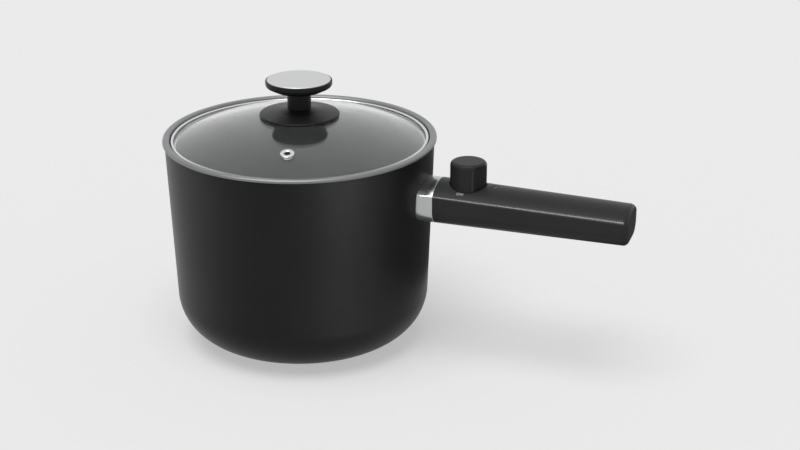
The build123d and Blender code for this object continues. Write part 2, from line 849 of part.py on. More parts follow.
with BuildPart() as cord_gland:
    gland_seat = handle_bottom(gland_x) + gland_flange_thickness
    gland_top = gland_seat + handle_wall + gland_flange_thickness
    with BuildSketch(Plane.XY.offset(gland_seat)):
        with Locations((gland_x, 0)):
            Circle(gland_flange_radius)
    extrude(amount=-gland_flange_thickness)
    with BuildSketch(Plane.XY.offset(gland_seat)):
        with Locations((gland_x, 0)):
            Circle(gland_neck_radius)
    extrude(amount=gland_top - gland_seat)
    fillet(cord_gland.edges().group_by(Axis.Z)[0], gland_flange_thickness / 2)
    with BuildSketch(Plane.XY.offset(gland_top)):
        with Locations((gland_x, 0)):
            Circle(gland_bore_radius)
    extrude(amount=-handle_depth, mode=Mode.SUBTRACT)
save(cord_gland.part, "cord_gland")

# ---------------------------------------------------------------- switch

switch_bottom = ceiling - switch_height
switch_floor = switch_bottom + switch_base_thickness
cavity_top = ceiling - switch_roof
bush_top = ceiling + bush_height
dial_bottom = recess_floor + moving_gap
dial_top = dial_bottom + dial_height
hub_bottom = dial_bottom + hub_lift
rotor_bottom = switch_floor + moving_gap
shaft_top = dial_top - dial_top_thickness - shaft_tip_gap

with BuildPart() as switch_body:
    with BuildSketch(Plane.XY.offset(switch_floor)):
        with Locations((dial_x, 0)):
            RectangleRounded(switch_length, switch_width, switch_roof)
    extrude(amount=ceiling - switch_floor)
    with BuildSketch(Plane.XY.offset(ceiling)):
        with Locations((dial_x, 0)):
            Circle(bush_radius)
    extrude(amount=bush_height)
    with BuildSketch(Plane.XY.offset(switch_floor)):
        with Locations((dial_x, 0)):
            Circle(switch_cavity_radius)
    extrude(amount=cavity_top - switch_floor, mode=Mode.SUBTRACT)
    with BuildSketch(Plane.XY.offset(cavity_top)):
        with Locations((dial_x, 0)):
            Circle(shaft_radius + running_gap)
    extrude(amount=bush_top - cavity_top, mode=Mode.SUBTRACT)
save(switch_body.part, "switch_body")

with BuildPart() as switch_base:
    with BuildSketch(Plane.XY.offset(switch_bottom)):
        with Locations((dial_x, 0)):
            RectangleRounded(switch_length, switch_width, switch_roof)
    extrude(amount=switch_base_thickness)
save(switch_base.part, "switch_base")

blade_x = switch_length / 2 - switch_blade_inset

with BuildPart() as switch_blades:
    for side in (-1, 1):
        with BuildSketch(Plane.XY.offset(switch_bottom)):
            with Locations((dial_x + side * blade_x, lead_spread)):
                Rectangle(blade_thickness, blade_width)
        extrude(amount=-switch_blade_length)
save(switch_blades.part, "switch_blades")

with BuildPart() as switch_nut:
    with BuildSketch(Plane.XY.offset(recess_floor)):
        with Locations((dial_x, 0)):
            RegularPolygon(nut_flats / 2, 6, major_radius=False)
            Circle(bush_radius + press_gap, mode=Mode.SUBTRACT)
    extrude(amount=nut_thickness)
save(switch_nut.part, "switch_nut")

with BuildPart() as switch_shaft:
    with BuildSketch(Plane.XY.offset(rotor_bottom)):
        with Locations((dial_x, 0)):
            Circle(rotor_radius)
    extrude(amount=rotor_thickness)
    with BuildSketch(Plane.XY.offset(rotor_bottom)):
        with Locations((dial_x, 0)):
            Circle(shaft_radius)
    extrude(amount=shaft_top - rotor_bottom)
    # flat that drives the dial
    with BuildSketch(Plane.XY.offset(hub_bottom)):
        with Locations((dial_x + shaft_radius - shaft_flat_depth, 0)):
            Rectangle(2 * shaft_radius, 2 * shaft_radius, align=(Align.MIN, Align.CENTER))
    extrude(amount=shaft_top - hub_bottom, mode=Mode.SUBTRACT)
save(switch_shaft.part, "switch_shaft")

with BuildPart() as dial:
    with BuildSketch(Plane.XY.offset(dial_bottom)):
        with Locations((dial_x, 0)):
            Circle(dial_radius)
    extrude(amount=dial_height)
    fillet(dial.edges().group_by(Axis.Z)[-1], dial_round)
    with BuildSketch(Plane.XY.offset(dial_bottom)):
        with Locations((dial_x, 0)):
            Circle(dial_bore_radius)
    extrude(amount=dial_height - dial_top_thickness, mode=Mode.SUBTRACT)
    with BuildSketch(Plane.XY.offset(hub_bottom)):
        with Locations((dial_x, 0)):
            Circle(hub_radius)
    extrude(amount=dial_top - dial_top_thickness / 2 - hub_bottom)
    # bore with a flat, a little larger than the shaft
    with BuildSketch(Plane.XY.offset(hub_bottom)):
        with Locations((dial_x, 0)):
            Circle(shaft_radius + press_gap)
        with Locations((dial_x + shaft_radius - shaft_flat_depth + press_gap, 0)):
            Rectangle(2 * shaft_radius, 2 * hub_radius, align=(Align.MIN, Align.CENTER), mode=Mode.SUBTRACT)
    extrude(amount=dial_top - dial_top_thickness - hub_bottom, mode=Mode.SUBTRACT)
    # a finger scoop on each side of the grip
    scoop_centre = dial_radius + scoop_radius - scoop_depth
    with BuildSketch(Plane.XY.offset(dial_bottom)):
        with Locations((dial_x, 0)):
            with PolarLocations(scoop_centre, 2, start_angle=scoop_angle):
                Circle(scoop_radius)
    extrude(amount=dial_height - scoop_top, mode=Mode.SUBTRACT)
save(dial.part, "dial")

# ---------------------------------------------------------------- indicator and terminals

with BuildPart() as indicator_lens:
    with BuildSketch(Plane.XY.offset(lens_ceiling - lens_flange_thickness)):
        with Locations((lens_x, 0)):
            Circle(lens_flange_radius)
    extrude(amount=lens_flange_thickness)
    with BuildSketch(Plane.XY.offset(lens_ceiling)):
        with Locations((lens_x, 0)):
            Circle(lens_radius)
    extrude(amount=lens_top - lens_ceiling)
save(indicator_lens.part, "indicator_lens")

with BuildPart() as indicator_lamp:
    with BuildSketch(Plane.XY.offset(lens_ceiling - lens_flange_thickness - contact_gap)):
        with Locations((lens_x, 0)):
            Circle(lamp_radius)
    extrude(amount=-lamp_length)
save(indicator_lamp.part, "indicator_lamp")

block_bottom = block_ceiling - block_height
port_height = block_bottom + block_height / 2

with BuildPart() as terminal_block:
    with BuildSketch(Plane.XY.offset(block_bottom)):
        with Locations((block_x, 0)):
            RectangleRounded(block_length, block_width, block_port_radius)
    extrude(amount=block_height)
    with BuildSketch(Plane(origin=(block_x, 0, port_height), x_dir=(0, 1, 0), z_dir=(1, 0, 0))):
        with Locations((-block_port_offset, 0), (block_port_offset, 0)):
            Circle(block_port_radius)
    extrude(amount=block_length, both=True, mode=Mode.SUBTRACT)
    with BuildSketch(Plane.XY.offset(block_bottom)):
        with Locations((block_x, 0)):
            Circle(small_screw_radius + hole_gap)
    extrude(amount=block_height, mode=Mode.SUBTRACT)
    with BuildSketch(Plane.XY.offset(block_bottom)):
        with Locations((block_x, 0)):
            Circle(small_head_radius + hole_gap)
    extrude(amount=block_height - block_screw_length + block_pad_height, mode=Mode.SUBTRACT)
save(terminal_block.part, "terminal_block")

with BuildPart() as block_screw:
    block_screw_seat = block_ceiling + block_pad_height - block_screw_length
    with BuildSketch(Plane.XY.offset(block_screw_seat)):
        with Locations((block_x, 0)):
            Circle(small_head_radius)
    extrude(amount=-small_head_height)
    with BuildSketch(Plane.XY.offset(block_screw_seat)):
        with Locations((block_x, 0)):
            Circle(small_screw_radius)
    extrude(amount=block_screw_length)
save(block_screw.part, "block_screw")

# ---------------------------------------------------------------- leads

pin_reach = seal_bead_length + pin_length + contact_gap
pin_tip = {side: element_end(side).origin + element_end(side).z_dir * pin_reach for side in (1, -1)}
neutral_start = pin_tip[-1] + element_end(-1).z_dir * lead_bend
wall_lead_x = gap_radius(handle_height)
low_lead_x = gap_radius(pot_floor + pot_corner_radius)
blade_line = blade_height + blade_thickness / 2
block_entry = block_x - block_length / 2 - contact_gap
setout_start = lens_x - handle_lead_bend / 2
setout_end = setout_start + handle_lead_bend
setback_start = block_entry - handle_lead_bend
feed_start = dial_x + switch_length / 2 - switch_blade_inset + blade_thickness / 2 + contact_gap
heater_lead_end = dial_x - switch_length / 2 + switch_blade_inset - blade_thickness / 2 - contact_gap

neutral_lead = lead(
    [
        pin_tip[-1],
        neutral_start,
        (low_lead_x, -lead_spread, element_middle),
        (wall_lead_x, -lead_spread, handle_height),
        (setout_start, -lead_spread, handle_height),
        (setout_end, -lead_setout, handle_height),
        (setback_start, -lead_setout, port_height),
        (block_entry, -block_port_offset, port_height),
    ],
    [lead_bend, base_lead_bend, lead_bend, handle_lead_bend, handle_lead_bend, handle_lead_bend],
)
save(neutral_lead, "neutral_lead")

thermostat_tip = thermostat_radius + contact_gap + blade_length + contact_gap
thermostat_lead = lead(
    [
        (thermostat_tip, 0, blade_line),
        (low_lead_x, lead_spread, blade_line),
        (wall_lead_x, lead_spread, handle_height),
        (heater_lead_end, lead_spread, handle_height),
    ],
    [base_lead_bend, lead_bend],
)
save(thermostat_lead, "thermostat_lead")

feed_lead = lead(
    [
        (feed_start, lead_spread, handle_height),
        (setout_start, lead_spread, handle_height),
        (setout_end, lead_setout, handle_height),
        (setback_start, lead_setout, port_height),
        (block_entry, block_port_offset, port_height),
    ],
    [handle_lead_bend / 2, handle_lead_bend, handle_lead_bend],
)
save(feed_lead, "feed_lead")

# from the thermostat's far blade round it to the fuse, and from the fuse to the element's pin
link_bend = 2.8
link_side = thermostat_radius + 2 * link_bend
link_back = -thermostat_tip - 2 * link_bend
fuse_face = fuse_length / 2 + contact_gap
link_lead = lead(
    [
        (-thermostat_tip, 0, blade_line),
        (link_back, 0, blade_line),
        (link_back, link_side, blade_line),
        (0, link_side, blade_line),
        (fuse_x - fuse_face - 2 * link_bend, fuse_y, fuse_height),
        (fuse_x - fuse_face, fuse_y, fuse_height),
    ],
    link_bend,
)
save(link_lead, "link_lead")

pin_turn_x = pin_tip[1].X + pin_length * sin(radians(element_open_angle))
pin_turn_y = pin_tip[1].Y - pin_length * cos(radians(element_open_angle))
pin_lead = lead(
    [
        (fuse_x + fuse_face, fuse_y, fuse_height),
        (pin_turn_x, pin_turn_y, element_middle),
        pin_tip[1],
    ],
    link_bend,
)
save(pin_lead, "pin_lead")

# ---------------------------------------------------------------- lid

rim_underside = seat_height + lid_drop_gap
glass_radius = lid_radius - lid_band - contact_gap * 3
glass_edge = rim_underside + lid_band + contact_gap
dome_radius = (glass_radius**2 + dome_height**2) / (2 * dome_height)
dome_middle = glass_edge - sqrt((dome_radius - glass_thickness) ** 2 - glass_radius**2)


def glass_top(radius):
    return dome_middle + sqrt(dome_radius**2 - radius**2)


def glass_bottom(radius):
    return dome_middle + sqrt((dome_radius - glass_thickness) ** 2 - radius**2)


vent_turn = radians(vent_angle)
vent_x = vent_distance * cos(vent_turn)
vent_y = vent_distance * sin(vent_turn)
vent_place = Vector(vent_x, vent_y, glass_top(vent_distance))
vent_plane = Plane(origin=vent_place, z_dir=vent_place - Vector(0, 0, dome_middle))
vent_axis = Axis(vent_place, vent_plane.z_dir)

with BuildPart() as lid_glass:
    with BuildSketch(Plane.XZ):
        with BuildLine():
            Polyline((0, glass_bottom(0)), (0, glass_top(0)))
            ThreePointArc(
                (0, glass_top(0)),
                (glass_radius / 2, glass_top(glass_radius / 2)),
                (glass_radius, glass_top(glass_radius)),
            )
            Line((glass_radius, glass_top(glass_radius)), (glass_radius, glass_bottom(glass_radius)))
            ThreePointArc(
                (glass_radius, glass_bottom(glass_radius)),
                (glass_radius / 2, glass_bottom(glass_radius / 2)),
                (0, glass_bottom(0)),
            )
        make_face()
    revolve(axis=Axis.Z)
    with BuildSketch(Plane.XY.offset(glass_bottom(0) - glass_thickness)):
        Circle(glass_hole_radius)
    extrude(amount=3 * glass_thickness, mode=Mode.SUBTRACT)
    with BuildSketch(vent_plane):
        Circle(vent_hole_radius)
    extrude(amount=2 * glass_thickness, both=True, mode=Mode.SUBTRACT)
save(lid_glass.part, "lid_glass")

with BuildPart() as lid_rim:
    # sheet folded down over the glass's edge, with a raised bead at the top and a lip underneath
    band_middle = lid_band / 2
    band_radius = lid_radius - band_middle
    bead_inside = lid_radius - lid_bead_width + band_middle
    bead_foot = glass_top(bead_inside) + contact_gap + band_middle
    bead_top = bead_foot + lid_bead_height
    with BuildSketch(Plane.XZ):
        with BuildLine():
            FilletPolyline(
                (bead_inside, bead_foot),
                (bead_inside, bead_top),
                (band_radius, bead_top),
                (band_radius, rim_underside + band_middle),
                (band_radius - lid_rim_under, rim_underside + band_middle),
                radius=lid_rim_bend,
            )
        trace(line_width=lid_band)
    revolve(axis=Axis.Z)
save(lid_rim.part, "lid_rim")

with BuildPart() as vent_eyelet:
    with BuildSketch(vent_plane.offset(contact_gap)):
        Circle(vent_flange_radius)
    extrude(amount=vent_flange_thickness)
    flange_edges = vent_eyelet.edges().filter_by(GeomType.CIRCLE).sort_by(vent_axis)
    fillet(flange_edges[-1], vent_flange_thickness / 3)
    with BuildSketch(vent_plane.offset(contact_gap)):
        Circle(vent_hole_radius - contact_gap)
    extrude(amount=-glass_thickness - 2 * contact_gap - vent_flange_thickness)
    with BuildSketch(vent_plane.offset(-glass_thickness - contact_gap)):
        Circle(vent_flange_radius - vent_flange_thickness)
    extrude(amount=-vent_flange_thickness)
    with BuildSketch(vent_plane):
        Circle(vent_bore_radius)
    extrude(amount=2 * glass_thickness, both=True, mode=Mode.SUBTRACT)
save(vent_eyelet.part, "vent_eyelet")

# ---------------------------------------------------------------- knob

gasket_bottom = glass_top(glass_hole_radius)
gasket_top = gasket_bottom + gasket_thickness
skirt_underside = glass_top(skirt_radius) + 2 * contact_gap
skirt_top = skirt_underside + skirt_edge + skirt_rise
neck_top = skirt_top + neck_height
flare_base = neck_top + head_under_rise
rim_base = flare_base + head_flare_rise
head_top = rim_base + head_rim_height
inlay_base = head_top - inlay_depth
insert_bottom = skirt_top + contact_gap

with BuildPart() as knob_gasket:
    with BuildSketch(Plane.XY.offset(gasket_bottom)):
        Circle(gasket_radius)
        Circle(glass_hole_radius, mode=Mode.SUBTRACT)
    extrude(amount=gasket_thickness)
save(knob_gasket.part, "knob_gasket")

with BuildPart() as knob_skirt:
    with BuildSketch(Plane.XZ) as skirt_section:
        with BuildLine():
            Polyline(
                (knob_screw_radius + hole_gap, gasket_top),
                (gasket_radius + contact_gap, gasket_top),
                (gasket_radius + contact_gap, glass_top(gasket_radius) + 2 * contact_gap),
                (skirt_radius, skirt_underside),
                (skirt_radius, skirt_underside + skirt_edge),
                (neck_radius, skirt_top),
                (knob_screw_radius + hole_gap, skirt_top),
                close=True,
            )
        make_face()
        fillet(skirt_section.vertices().group_by(Axis.X)[-1], skirt_round)
    revolve(axis=Axis.Z)
save(knob_skirt.part, "knob_skirt")

with BuildPart() as knob_head:
    with BuildSketch(Plane.XZ) as head_section:
        with BuildLine():
            Polyline(
                (0, skirt_top),
                (neck_radius, skirt_top),
                (neck_radius, neck_top),
                (head_under_radius, flare_base),
                (head_radius, rim_base),
                (head_radius, head_top),
                (inlay_radius + press_gap, head_top),
                (inlay_radius + press_gap, inlay_base),
                (0, inlay_base),
                close=True,
            )
        make_face()
        # ease the corners from the neck's top to the head's underside
        under_corners = head_section.vertices().filter_by_position(Axis.Y, neck_top, flare_base)
        fillet(under_corners, head_round)
    revolve(axis=Axis.Z)
    with BuildSketch(Plane.XY.offset(skirt_top)):
        Circle(insert_radius + press_gap)
    extrude(amount=insert_length + contact_gap, mode=Mode.SUBTRACT)
save(knob_head.part, "knob_head")

with BuildPart() as knob_inlay:
    with BuildSketch(Plane.XY.offset(inlay_base)):
        Circle(inlay_radius)
    extrude(amount=inlay_thickness)
    chamfer(knob_inlay.edges().group_by(Axis.Z)[-1], inlay_bevel)
save(knob_inlay.part, "knob_inlay")

with BuildPart() as knob_insert:
    with BuildSketch(Plane.XY.offset(insert_bottom)):
        Circle(insert_radius)
        Circle(knob_screw_radius + press_gap, mode=Mode.SUBTRACT)
    extrude(amount=insert_length - contact_gap)
save(knob_insert.part, "knob_insert")

lower_gasket_top = glass_bottom(gasket_radius)

with BuildPart() as glass_gasket:
    with BuildSketch(Plane.XY.offset(lower_gasket_top - gasket_thickness)):
        Circle(gasket_radius)
        Circle(glass_hole_radius, mode=Mode.SUBTRACT)
    extrude(amount=gasket_thickness)
save(glass_gasket.part, "glass_gasket")

washer_top = lower_gasket_top - gasket_thickness

with BuildPart() as knob_washer:
    with BuildSketch(Plane.XY.offset(washer_top)):
        Circle(washer_radius)
        Circle(knob_screw_radius + hole_gap, mode=Mode.SUBTRACT)
    extrude(amount=-washer_thickness)
save(knob_washer.part, "knob_washer")

with BuildPart() as knob_screw:
    with BuildSketch(Plane.XY.offset(washer_top - washer_thickness)):
        Circle(knob_screw_head_radius)
    extrude(amount=-knob_screw_head_height)
    fillet(knob_screw.edges().group_by(Axis.Z)[0], knob_screw_head_height / 3)
    with BuildSketch(Plane.XY.offset(washer_top - washer_thickness)):
        Circle(knob_screw_radius)
    extrude(amount=insert_bottom + insert_length - contact_gap - washer_top + washer_thickness)
save(knob_screw.part, "knob_screw")
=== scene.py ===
from math import atan2, cos, pi, radians, sin, sqrt, tan

import bmesh
import bpy
from mathutils import Matrix, Vector


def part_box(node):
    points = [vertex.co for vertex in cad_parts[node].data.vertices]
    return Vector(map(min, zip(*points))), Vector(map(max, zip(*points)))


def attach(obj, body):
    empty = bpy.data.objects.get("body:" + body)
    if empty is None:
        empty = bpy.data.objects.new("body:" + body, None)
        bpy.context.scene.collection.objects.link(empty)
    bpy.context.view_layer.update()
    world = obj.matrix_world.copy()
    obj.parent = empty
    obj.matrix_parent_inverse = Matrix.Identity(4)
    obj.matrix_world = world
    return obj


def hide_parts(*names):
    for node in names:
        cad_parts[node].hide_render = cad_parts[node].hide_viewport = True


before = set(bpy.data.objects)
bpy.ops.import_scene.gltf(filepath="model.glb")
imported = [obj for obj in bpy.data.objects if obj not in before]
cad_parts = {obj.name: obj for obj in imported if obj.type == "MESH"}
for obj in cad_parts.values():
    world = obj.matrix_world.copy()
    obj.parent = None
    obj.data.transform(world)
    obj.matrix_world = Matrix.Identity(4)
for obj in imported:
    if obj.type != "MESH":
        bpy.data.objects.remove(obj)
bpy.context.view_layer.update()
mm = 0.001  # settings below are in millimetres
print("frame loaded")


def deselectAll():
    if bpy.context.object and bpy.context.object.mode != "OBJECT":
        bpy.ops.object.mode_set(mode="OBJECT")
    bpy.ops.object.select_all(action="DESELECT")


def makeActive(piece):
    deselectAll()
    piece.select_set(True)
    bpy.context.view_layer.objects.active = piece


def nodeBox(node):
    # lowest and highest corner of a CAD node in millimetres
    low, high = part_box(node)
    return low / mm, high / mm


def roundCorners(corners, steps=6, closed=False):
    # corners are (out, up, bend radius), and every bend turns into an arc of short runs
    line = []
    count = len(corners)
    for index, (out, up, bend) in enumerate(corners):
        here = Vector((out, up))
        atEnd = not closed and index in (0, count - 1)
        if bend == 0 or atEnd:
            line.append(here)
            continue
        before = (Vector(corners[index - 1][:2]) - here).normalized()
        after = (Vector(corners[(index + 1) % count][:2]) - here).normalized()
        half = before.angle(after) / 2
        centre = here + (before + after).normalized() * bend / sin(half)
        arm = here + before * bend / tan(half) - centre
        swing = pi - 2 * half
        if before.cross(after) > 0:
            swing = -swing
        for step in range(steps + 1):
            turn = swing * step / steps
            line.append(centre + Matrix.Rotation(turn, 2) @ arm)
    if closed:
        line.append(line[0])
    return line


def spinPiece(name, line, steps=192, foot=(0, 0, 0), axis=(0, 0, 1)):
    # one vertex is extruded along the line, and the line is spun about the axis
    deselectAll()
    up = Vector(axis).normalized()
    side = up.cross(Vector((0, 1, 0))).normalized()
    foot = Vector(foot)
    places = [(foot + side * out + up * height) * mm for out, height in line]
    bpy.ops.mesh.primitive_plane_add(size=mm, location=places[0])
    piece = bpy.context.object
    piece.name = name
    bpy.ops.object.mode_set(mode="EDIT")
    bpy.ops.mesh.select_mode(type="VERT")
    bpy.ops.mesh.merge(type="CENTER")
    for start, end in zip(places, places[1:]):
        bpy.ops.mesh.extrude_vertices_move(TRANSFORM_OT_translate={"value": end - start})
    bpy.ops.mesh.select_all(action="SELECT")
    bpy.ops.mesh.spin(steps=steps, angle=2 * pi, center=foot * mm, axis=up)
    closeMesh()
    bpy.ops.object.transform_apply()
    return piece


def closeMesh():
    # joins doubled points and turns the faces outwards
    bpy.ops.mesh.select_all(action="SELECT")
    bpy.ops.mesh.remove_doubles(threshold=0.002 * mm)
    bpy.ops.mesh.normals_make_consistent(inside=False)
    bpy.ops.object.mode_set(mode="OBJECT")


def pick(kind, test):
    # in edit mode, selects what has its middle where the test says
    bpy.ops.mesh.select_mode(type=kind)
    bpy.ops.mesh.select_all(action="DESELECT")
    mesh = bmesh.from_edit_mesh(bpy.context.edit_object.data)
    items = {"VERT": mesh.verts, "EDGE": mesh.edges, "FACE": mesh.faces}[kind]
    for item in items:
        points = [item.co] if kind == "VERT" else [corner.co for corner in item.verts]
        middle = sum(points, Vector()) / len(points)
        if test(middle / mm):
            item.select_set(True)
    mesh.select_flush_mode()
    bmesh.update_edit_mesh(bpy.context.edit_object.data)


def carve(piece, cutter, operation="DIFFERENCE"):
    makeActive(piece)
    bpy.ops.object.modifier_add(type="BOOLEAN")
    cut = piece.modifiers[-1]
    cut.operation = operation
    cut.solver = "EXACT"
    cut.object = cutter
    bpy.ops.object.modifier_apply(modifier=cut.name)
    bpy.data.objects.remove(cutter)


def block(low, high):
    # a plain box used as a cutter
    deselectAll()
    middle = (Vector(low) + Vector(high)) / 2
    bpy.ops.mesh.primitive_cube_add(size=1, location=middle * mm)
    box = bpy.context.object
    box.scale = (Vector(high) - Vector(low)) * mm
    bpy.ops.object.transform_apply()
    return box


def rod(radius, bottom, top, centre=(0, 0), sides=96, lying=False):
    # a plain cylinder used as a cutter or core: upright, or lying along X at (y, z)
    deselectAll()
    middle = (bottom + top) / 2
    if lying:
        place = Vector((middle, centre[0], centre[1]))
        turn = (0, radians(90), 0)
    else:
        place = Vector((centre[0], centre[1], middle))
        turn = (0, 0, 0)
    bpy.ops.mesh.primitive_cylinder_add(
        vertices=sides, radius=radius * mm, depth=(top - bottom) * mm, location=place * mm, rotation=turn)
    bpy.ops.object.transform_apply()
    return bpy.context.object


def finishPiece(piece, body, material, nodes, sharpAngle=32):
    makeActive(piece)
    bpy.ops.object.shade_smooth_by_angle(angle=radians(sharpAngle))
    bpy.ops.object.modifier_add(type="WEIGHTED_NORMAL")
    piece.modifiers[-1].keep_sharp = True
    bpy.ops.object.modifier_apply(modifier=piece.modifiers[-1].name)
    piece.data.materials.clear()
    piece.data.materials.append(material)
    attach(piece, body)
    if nodes:
        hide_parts(*nodes)
    return piece


# shader groups that several finishes share
def newGroup(name, inputs, outputs):
    group = bpy.data.node_groups.new(name, "ShaderNodeTree")
    for label, kind, value in inputs:
        socket = group.interface.new_socket(name=label, in_out="INPUT", socket_type=kind)
        if value is not None:
            socket.default_value = value
    for label, kind in outputs:
        group.interface.new_socket(name=label, in_out="OUTPUT", socket_type=kind)
    entry = group.nodes.new("NodeGroupInput")
    leave = group.nodes.new("NodeGroupOutput")
    return group, entry, leave


def addMath(tree, operation, first, second=None):
    node = tree.nodes.new("ShaderNodeMath")
    node.operation = operation
    for index, value in enumerate((first, second)):
        if value is None:
            continue
        if isinstance(value, (int, float)):
            node.inputs[index].default_value = value
        else:
            tree.links.new(value, node.inputs[index])
    return node.outputs[0]


def addNoise(tree, vector, scale, detail=4.0, roughness=0.55):
    noise = tree.nodes.new("ShaderNodeTexNoise")
    noise.inputs["Detail"].default_value = detail
    noise.inputs["Roughness"].default_value = roughness
    if isinstance(scale, (int, float)):
        noise.inputs["Scale"].default_value = scale
    else:
        tree.links.new(scale, noise.inputs["Scale"])
    tree.links.new(vector, noise.inputs["Vector"])
    return noise.outputs["Fac"]


def addRange(tree, value, low, high):
    # spreads a noise value of about 0.3 to 0.7 over low to high
    node = tree.nodes.new("ShaderNodeMapRange")
    node.inputs["From Min"].default_value = 0.3
    node.inputs["From Max"].default_value = 0.7
    tree.links.new(value, node.inputs["Value"])
    for label, limit in (("To Min", low), ("To Max", high)):
        if isinstance(limit, (int, float)):
            node.inputs[label].default_value = limit
        else:
            tree.links.new(limit, node.inputs[label])
    return node.outputs["Result"]


def makeGrainGroup():
    # fine moulded or sprayed grain, and a slow change of gloss and tone over the surface
    group, entry, leave = newGroup(
        "surfaceGrain",
        [("Vector", "NodeSocketVector", None), ("Grain Scale", "NodeSocketFloat", 900.0),
         ("Patch Scale", "NodeSocketFloat", 18.0), ("Rough Low", "NodeSocketFloat", 0.4),
         ("Rough High", "NodeSocketFloat", 0.5), ("Tone", "NodeSocketColor", (0.02, 0.02, 0.02, 1)),
         ("Tone Shift", "NodeSocketFloat", 0.12)],
        [("Color", "NodeSocketColor"), ("Roughness", "NodeSocketFloat"), ("Height", "NodeSocketFloat")])
    place = entry.outputs["Vector"]
    grain = addNoise(group, place, entry.outputs["Grain Scale"], 3.0, 0.6)
    patch = addNoise(group, place, entry.outputs["Patch Scale"], 5.0, 0.6)
    group.links.new(addRange(group, patch, entry.outputs["Rough Low"], entry.outputs["Rough High"]),
                    leave.inputs["Roughness"])
    group.links.new(grain, leave.inputs["Height"])
    shift = addMath(group, "MULTIPLY", entry.outputs["Tone Shift"], -1.0)
    lift = addRange(group, patch, shift, entry.outputs["Tone Shift"])
    bright = group.nodes.new("ShaderNodeVectorMath")
    bright.operation = "SCALE"
    group.links.new(entry.outputs["Tone"], bright.inputs[0])
    group.links.new(addMath(group, "ADD", lift, 1.0), bright.inputs["Scale"])
    group.links.new(bright.outputs["Vector"], leave.inputs["Color"])
    return group


def makeTurnedGroup():
    # rings left by turning or spinning, round a Z axis through Vector's origin
    group, entry, leave = newGroup(
        "turnedRings",
        [("Vector", "NodeSocketVector", None), ("Ring Scale", "NodeSocketFloat", 1800.0),
         ("Rough Low", "NodeSocketFloat", 0.2), ("Rough High", "NodeSocketFloat", 0.34)],
        [("Roughness", "NodeSocketFloat"), ("Height", "NodeSocketFloat")])
    split = group.nodes.new("ShaderNodeSeparateXYZ")
    group.links.new(entry.outputs["Vector"], split.inputs[0])
    outX = addMath(group, "MULTIPLY", split.outputs["X"], split.outputs["X"])
    outY = addMath(group, "MULTIPLY", split.outputs["Y"], split.outputs["Y"])
    radius = addMath(group, "SQRT", addMath(group, "ADD", outX, outY))
    join = group.nodes.new("ShaderNodeCombineXYZ")
    group.links.new(radius, join.inputs["X"])
    group.links.new(split.outputs["Z"], join.inputs["Z"])
    rings = addNoise(group, join.outputs[0], entry.outputs["Ring Scale"], 2.0, 0.7)
    group.links.new(rings, leave.inputs["Height"])
    group.links.new(addRange(group, rings, entry.outputs["Rough Low"], entry.outputs["Rough High"]),
                    leave.inputs["Roughness"])
    return group


def makeMarksGroup():
    # faint smudges and hairline marks that change the gloss of polished surfaces
    group, entry, leave = newGroup(
        "handlingMarks",
        [("Vector", "NodeSocketVector", None), ("Rough Low", "NodeSocketFloat", 0.05),
         ("Rough High", "NodeSocketFloat", 0.12)],
        [("Roughness", "NodeSocketFloat"), ("Height", "NodeSocketFloat")])
    cloud = addNoise(group, entry.outputs["Vector"], 45.0, 6.0, 0.62)
    group.links.new(addRange(group, cloud, entry.outputs["Rough Low"], entry.outputs["Rough High"]),
                    leave.inputs["Roughness"])
    fine = addNoise(group, entry.outputs["Vector"], 380.0, 3.0, 0.5)
    group.links.new(fine, leave.inputs["Height"])
    return group


grainGroup = makeGrainGroup()
turnedGroup = makeTurnedGroup()
marksGroup = makeMarksGroup()


def newMaterial(name, color, roughness=0.5, metallic=0.0, specular=0.5):
    material = bpy.data.materials.new(name)
    material.use_nodes = True
    shader = material.node_tree.nodes["Principled BSDF"]
    shader.inputs["Base Color"].default_value = (*color, 1)
    shader.inputs["Roughness"].default_value = roughness
    shader.inputs["Metallic"].default_value = metallic
    shader.inputs["Specular IOR Level"].default_value = specular
    return material, shader


def placeGroup(material, group, values):
    # puts a shared group into a material, on object coordinates
    tree = material.node_tree
    coordinates = tree.nodes.new("ShaderNodeTexCoord")
    node = tree.nodes.new("ShaderNodeGroup")
    node.node_tree = group
    tree.links.new(coordinates.outputs["Object"], node.inputs["Vector"])
    for label, value in values.items():
        node.inputs[label].default_value = value
    return node


def addBump(material, shader, height, strength, distance=0.1):
    tree = material.node_tree
    bump = tree.nodes.new("ShaderNodeBump")
    bump.inputs["Strength"].default_value = strength
    bump.inputs["Distance"].default_value = distance * mm
    tree.links.new(height, bump.inputs["Height"])
    tree.links.new(bump.outputs["Normal"], shader.inputs["Normal"])


def grainMaterial(name, color, low, high, specular, grainScale, bump, toneShift=0.1, metallic=0.0, ior=None):
    # a low ior gives a soft coat that mirrors little
    material, shader = newMaterial(name, color, low, metallic, specular)
    if ior:
        shader.inputs["IOR"].default_value = ior
    node = placeGroup(material, grainGroup, {
        "Grain Scale": grainScale, "Rough Low": low, "Rough High": high,
        "Tone": (*color, 1), "Tone Shift": toneShift})
    tree = material.node_tree
    tree.links.new(node.outputs["Color"], shader.inputs["Base Color"])
    tree.links.new(node.outputs["Roughness"], shader.inputs["Roughness"])
    addBump(material, shader, node.outputs["Height"], bump)
    return material


def turnedMaterial(name, color, low, high, scale, bump):
    material, shader = newMaterial(name, color, low, 1.0)
    node = placeGroup(material, turnedGroup, {"Ring Scale": scale, "Rough Low": low, "Rough High": high})
    material.node_tree.links.new(node.outputs["Roughness"], shader.inputs["Roughness"])
    addBump(material, shader, node.outputs["Height"], bump, 0.02)
    return material


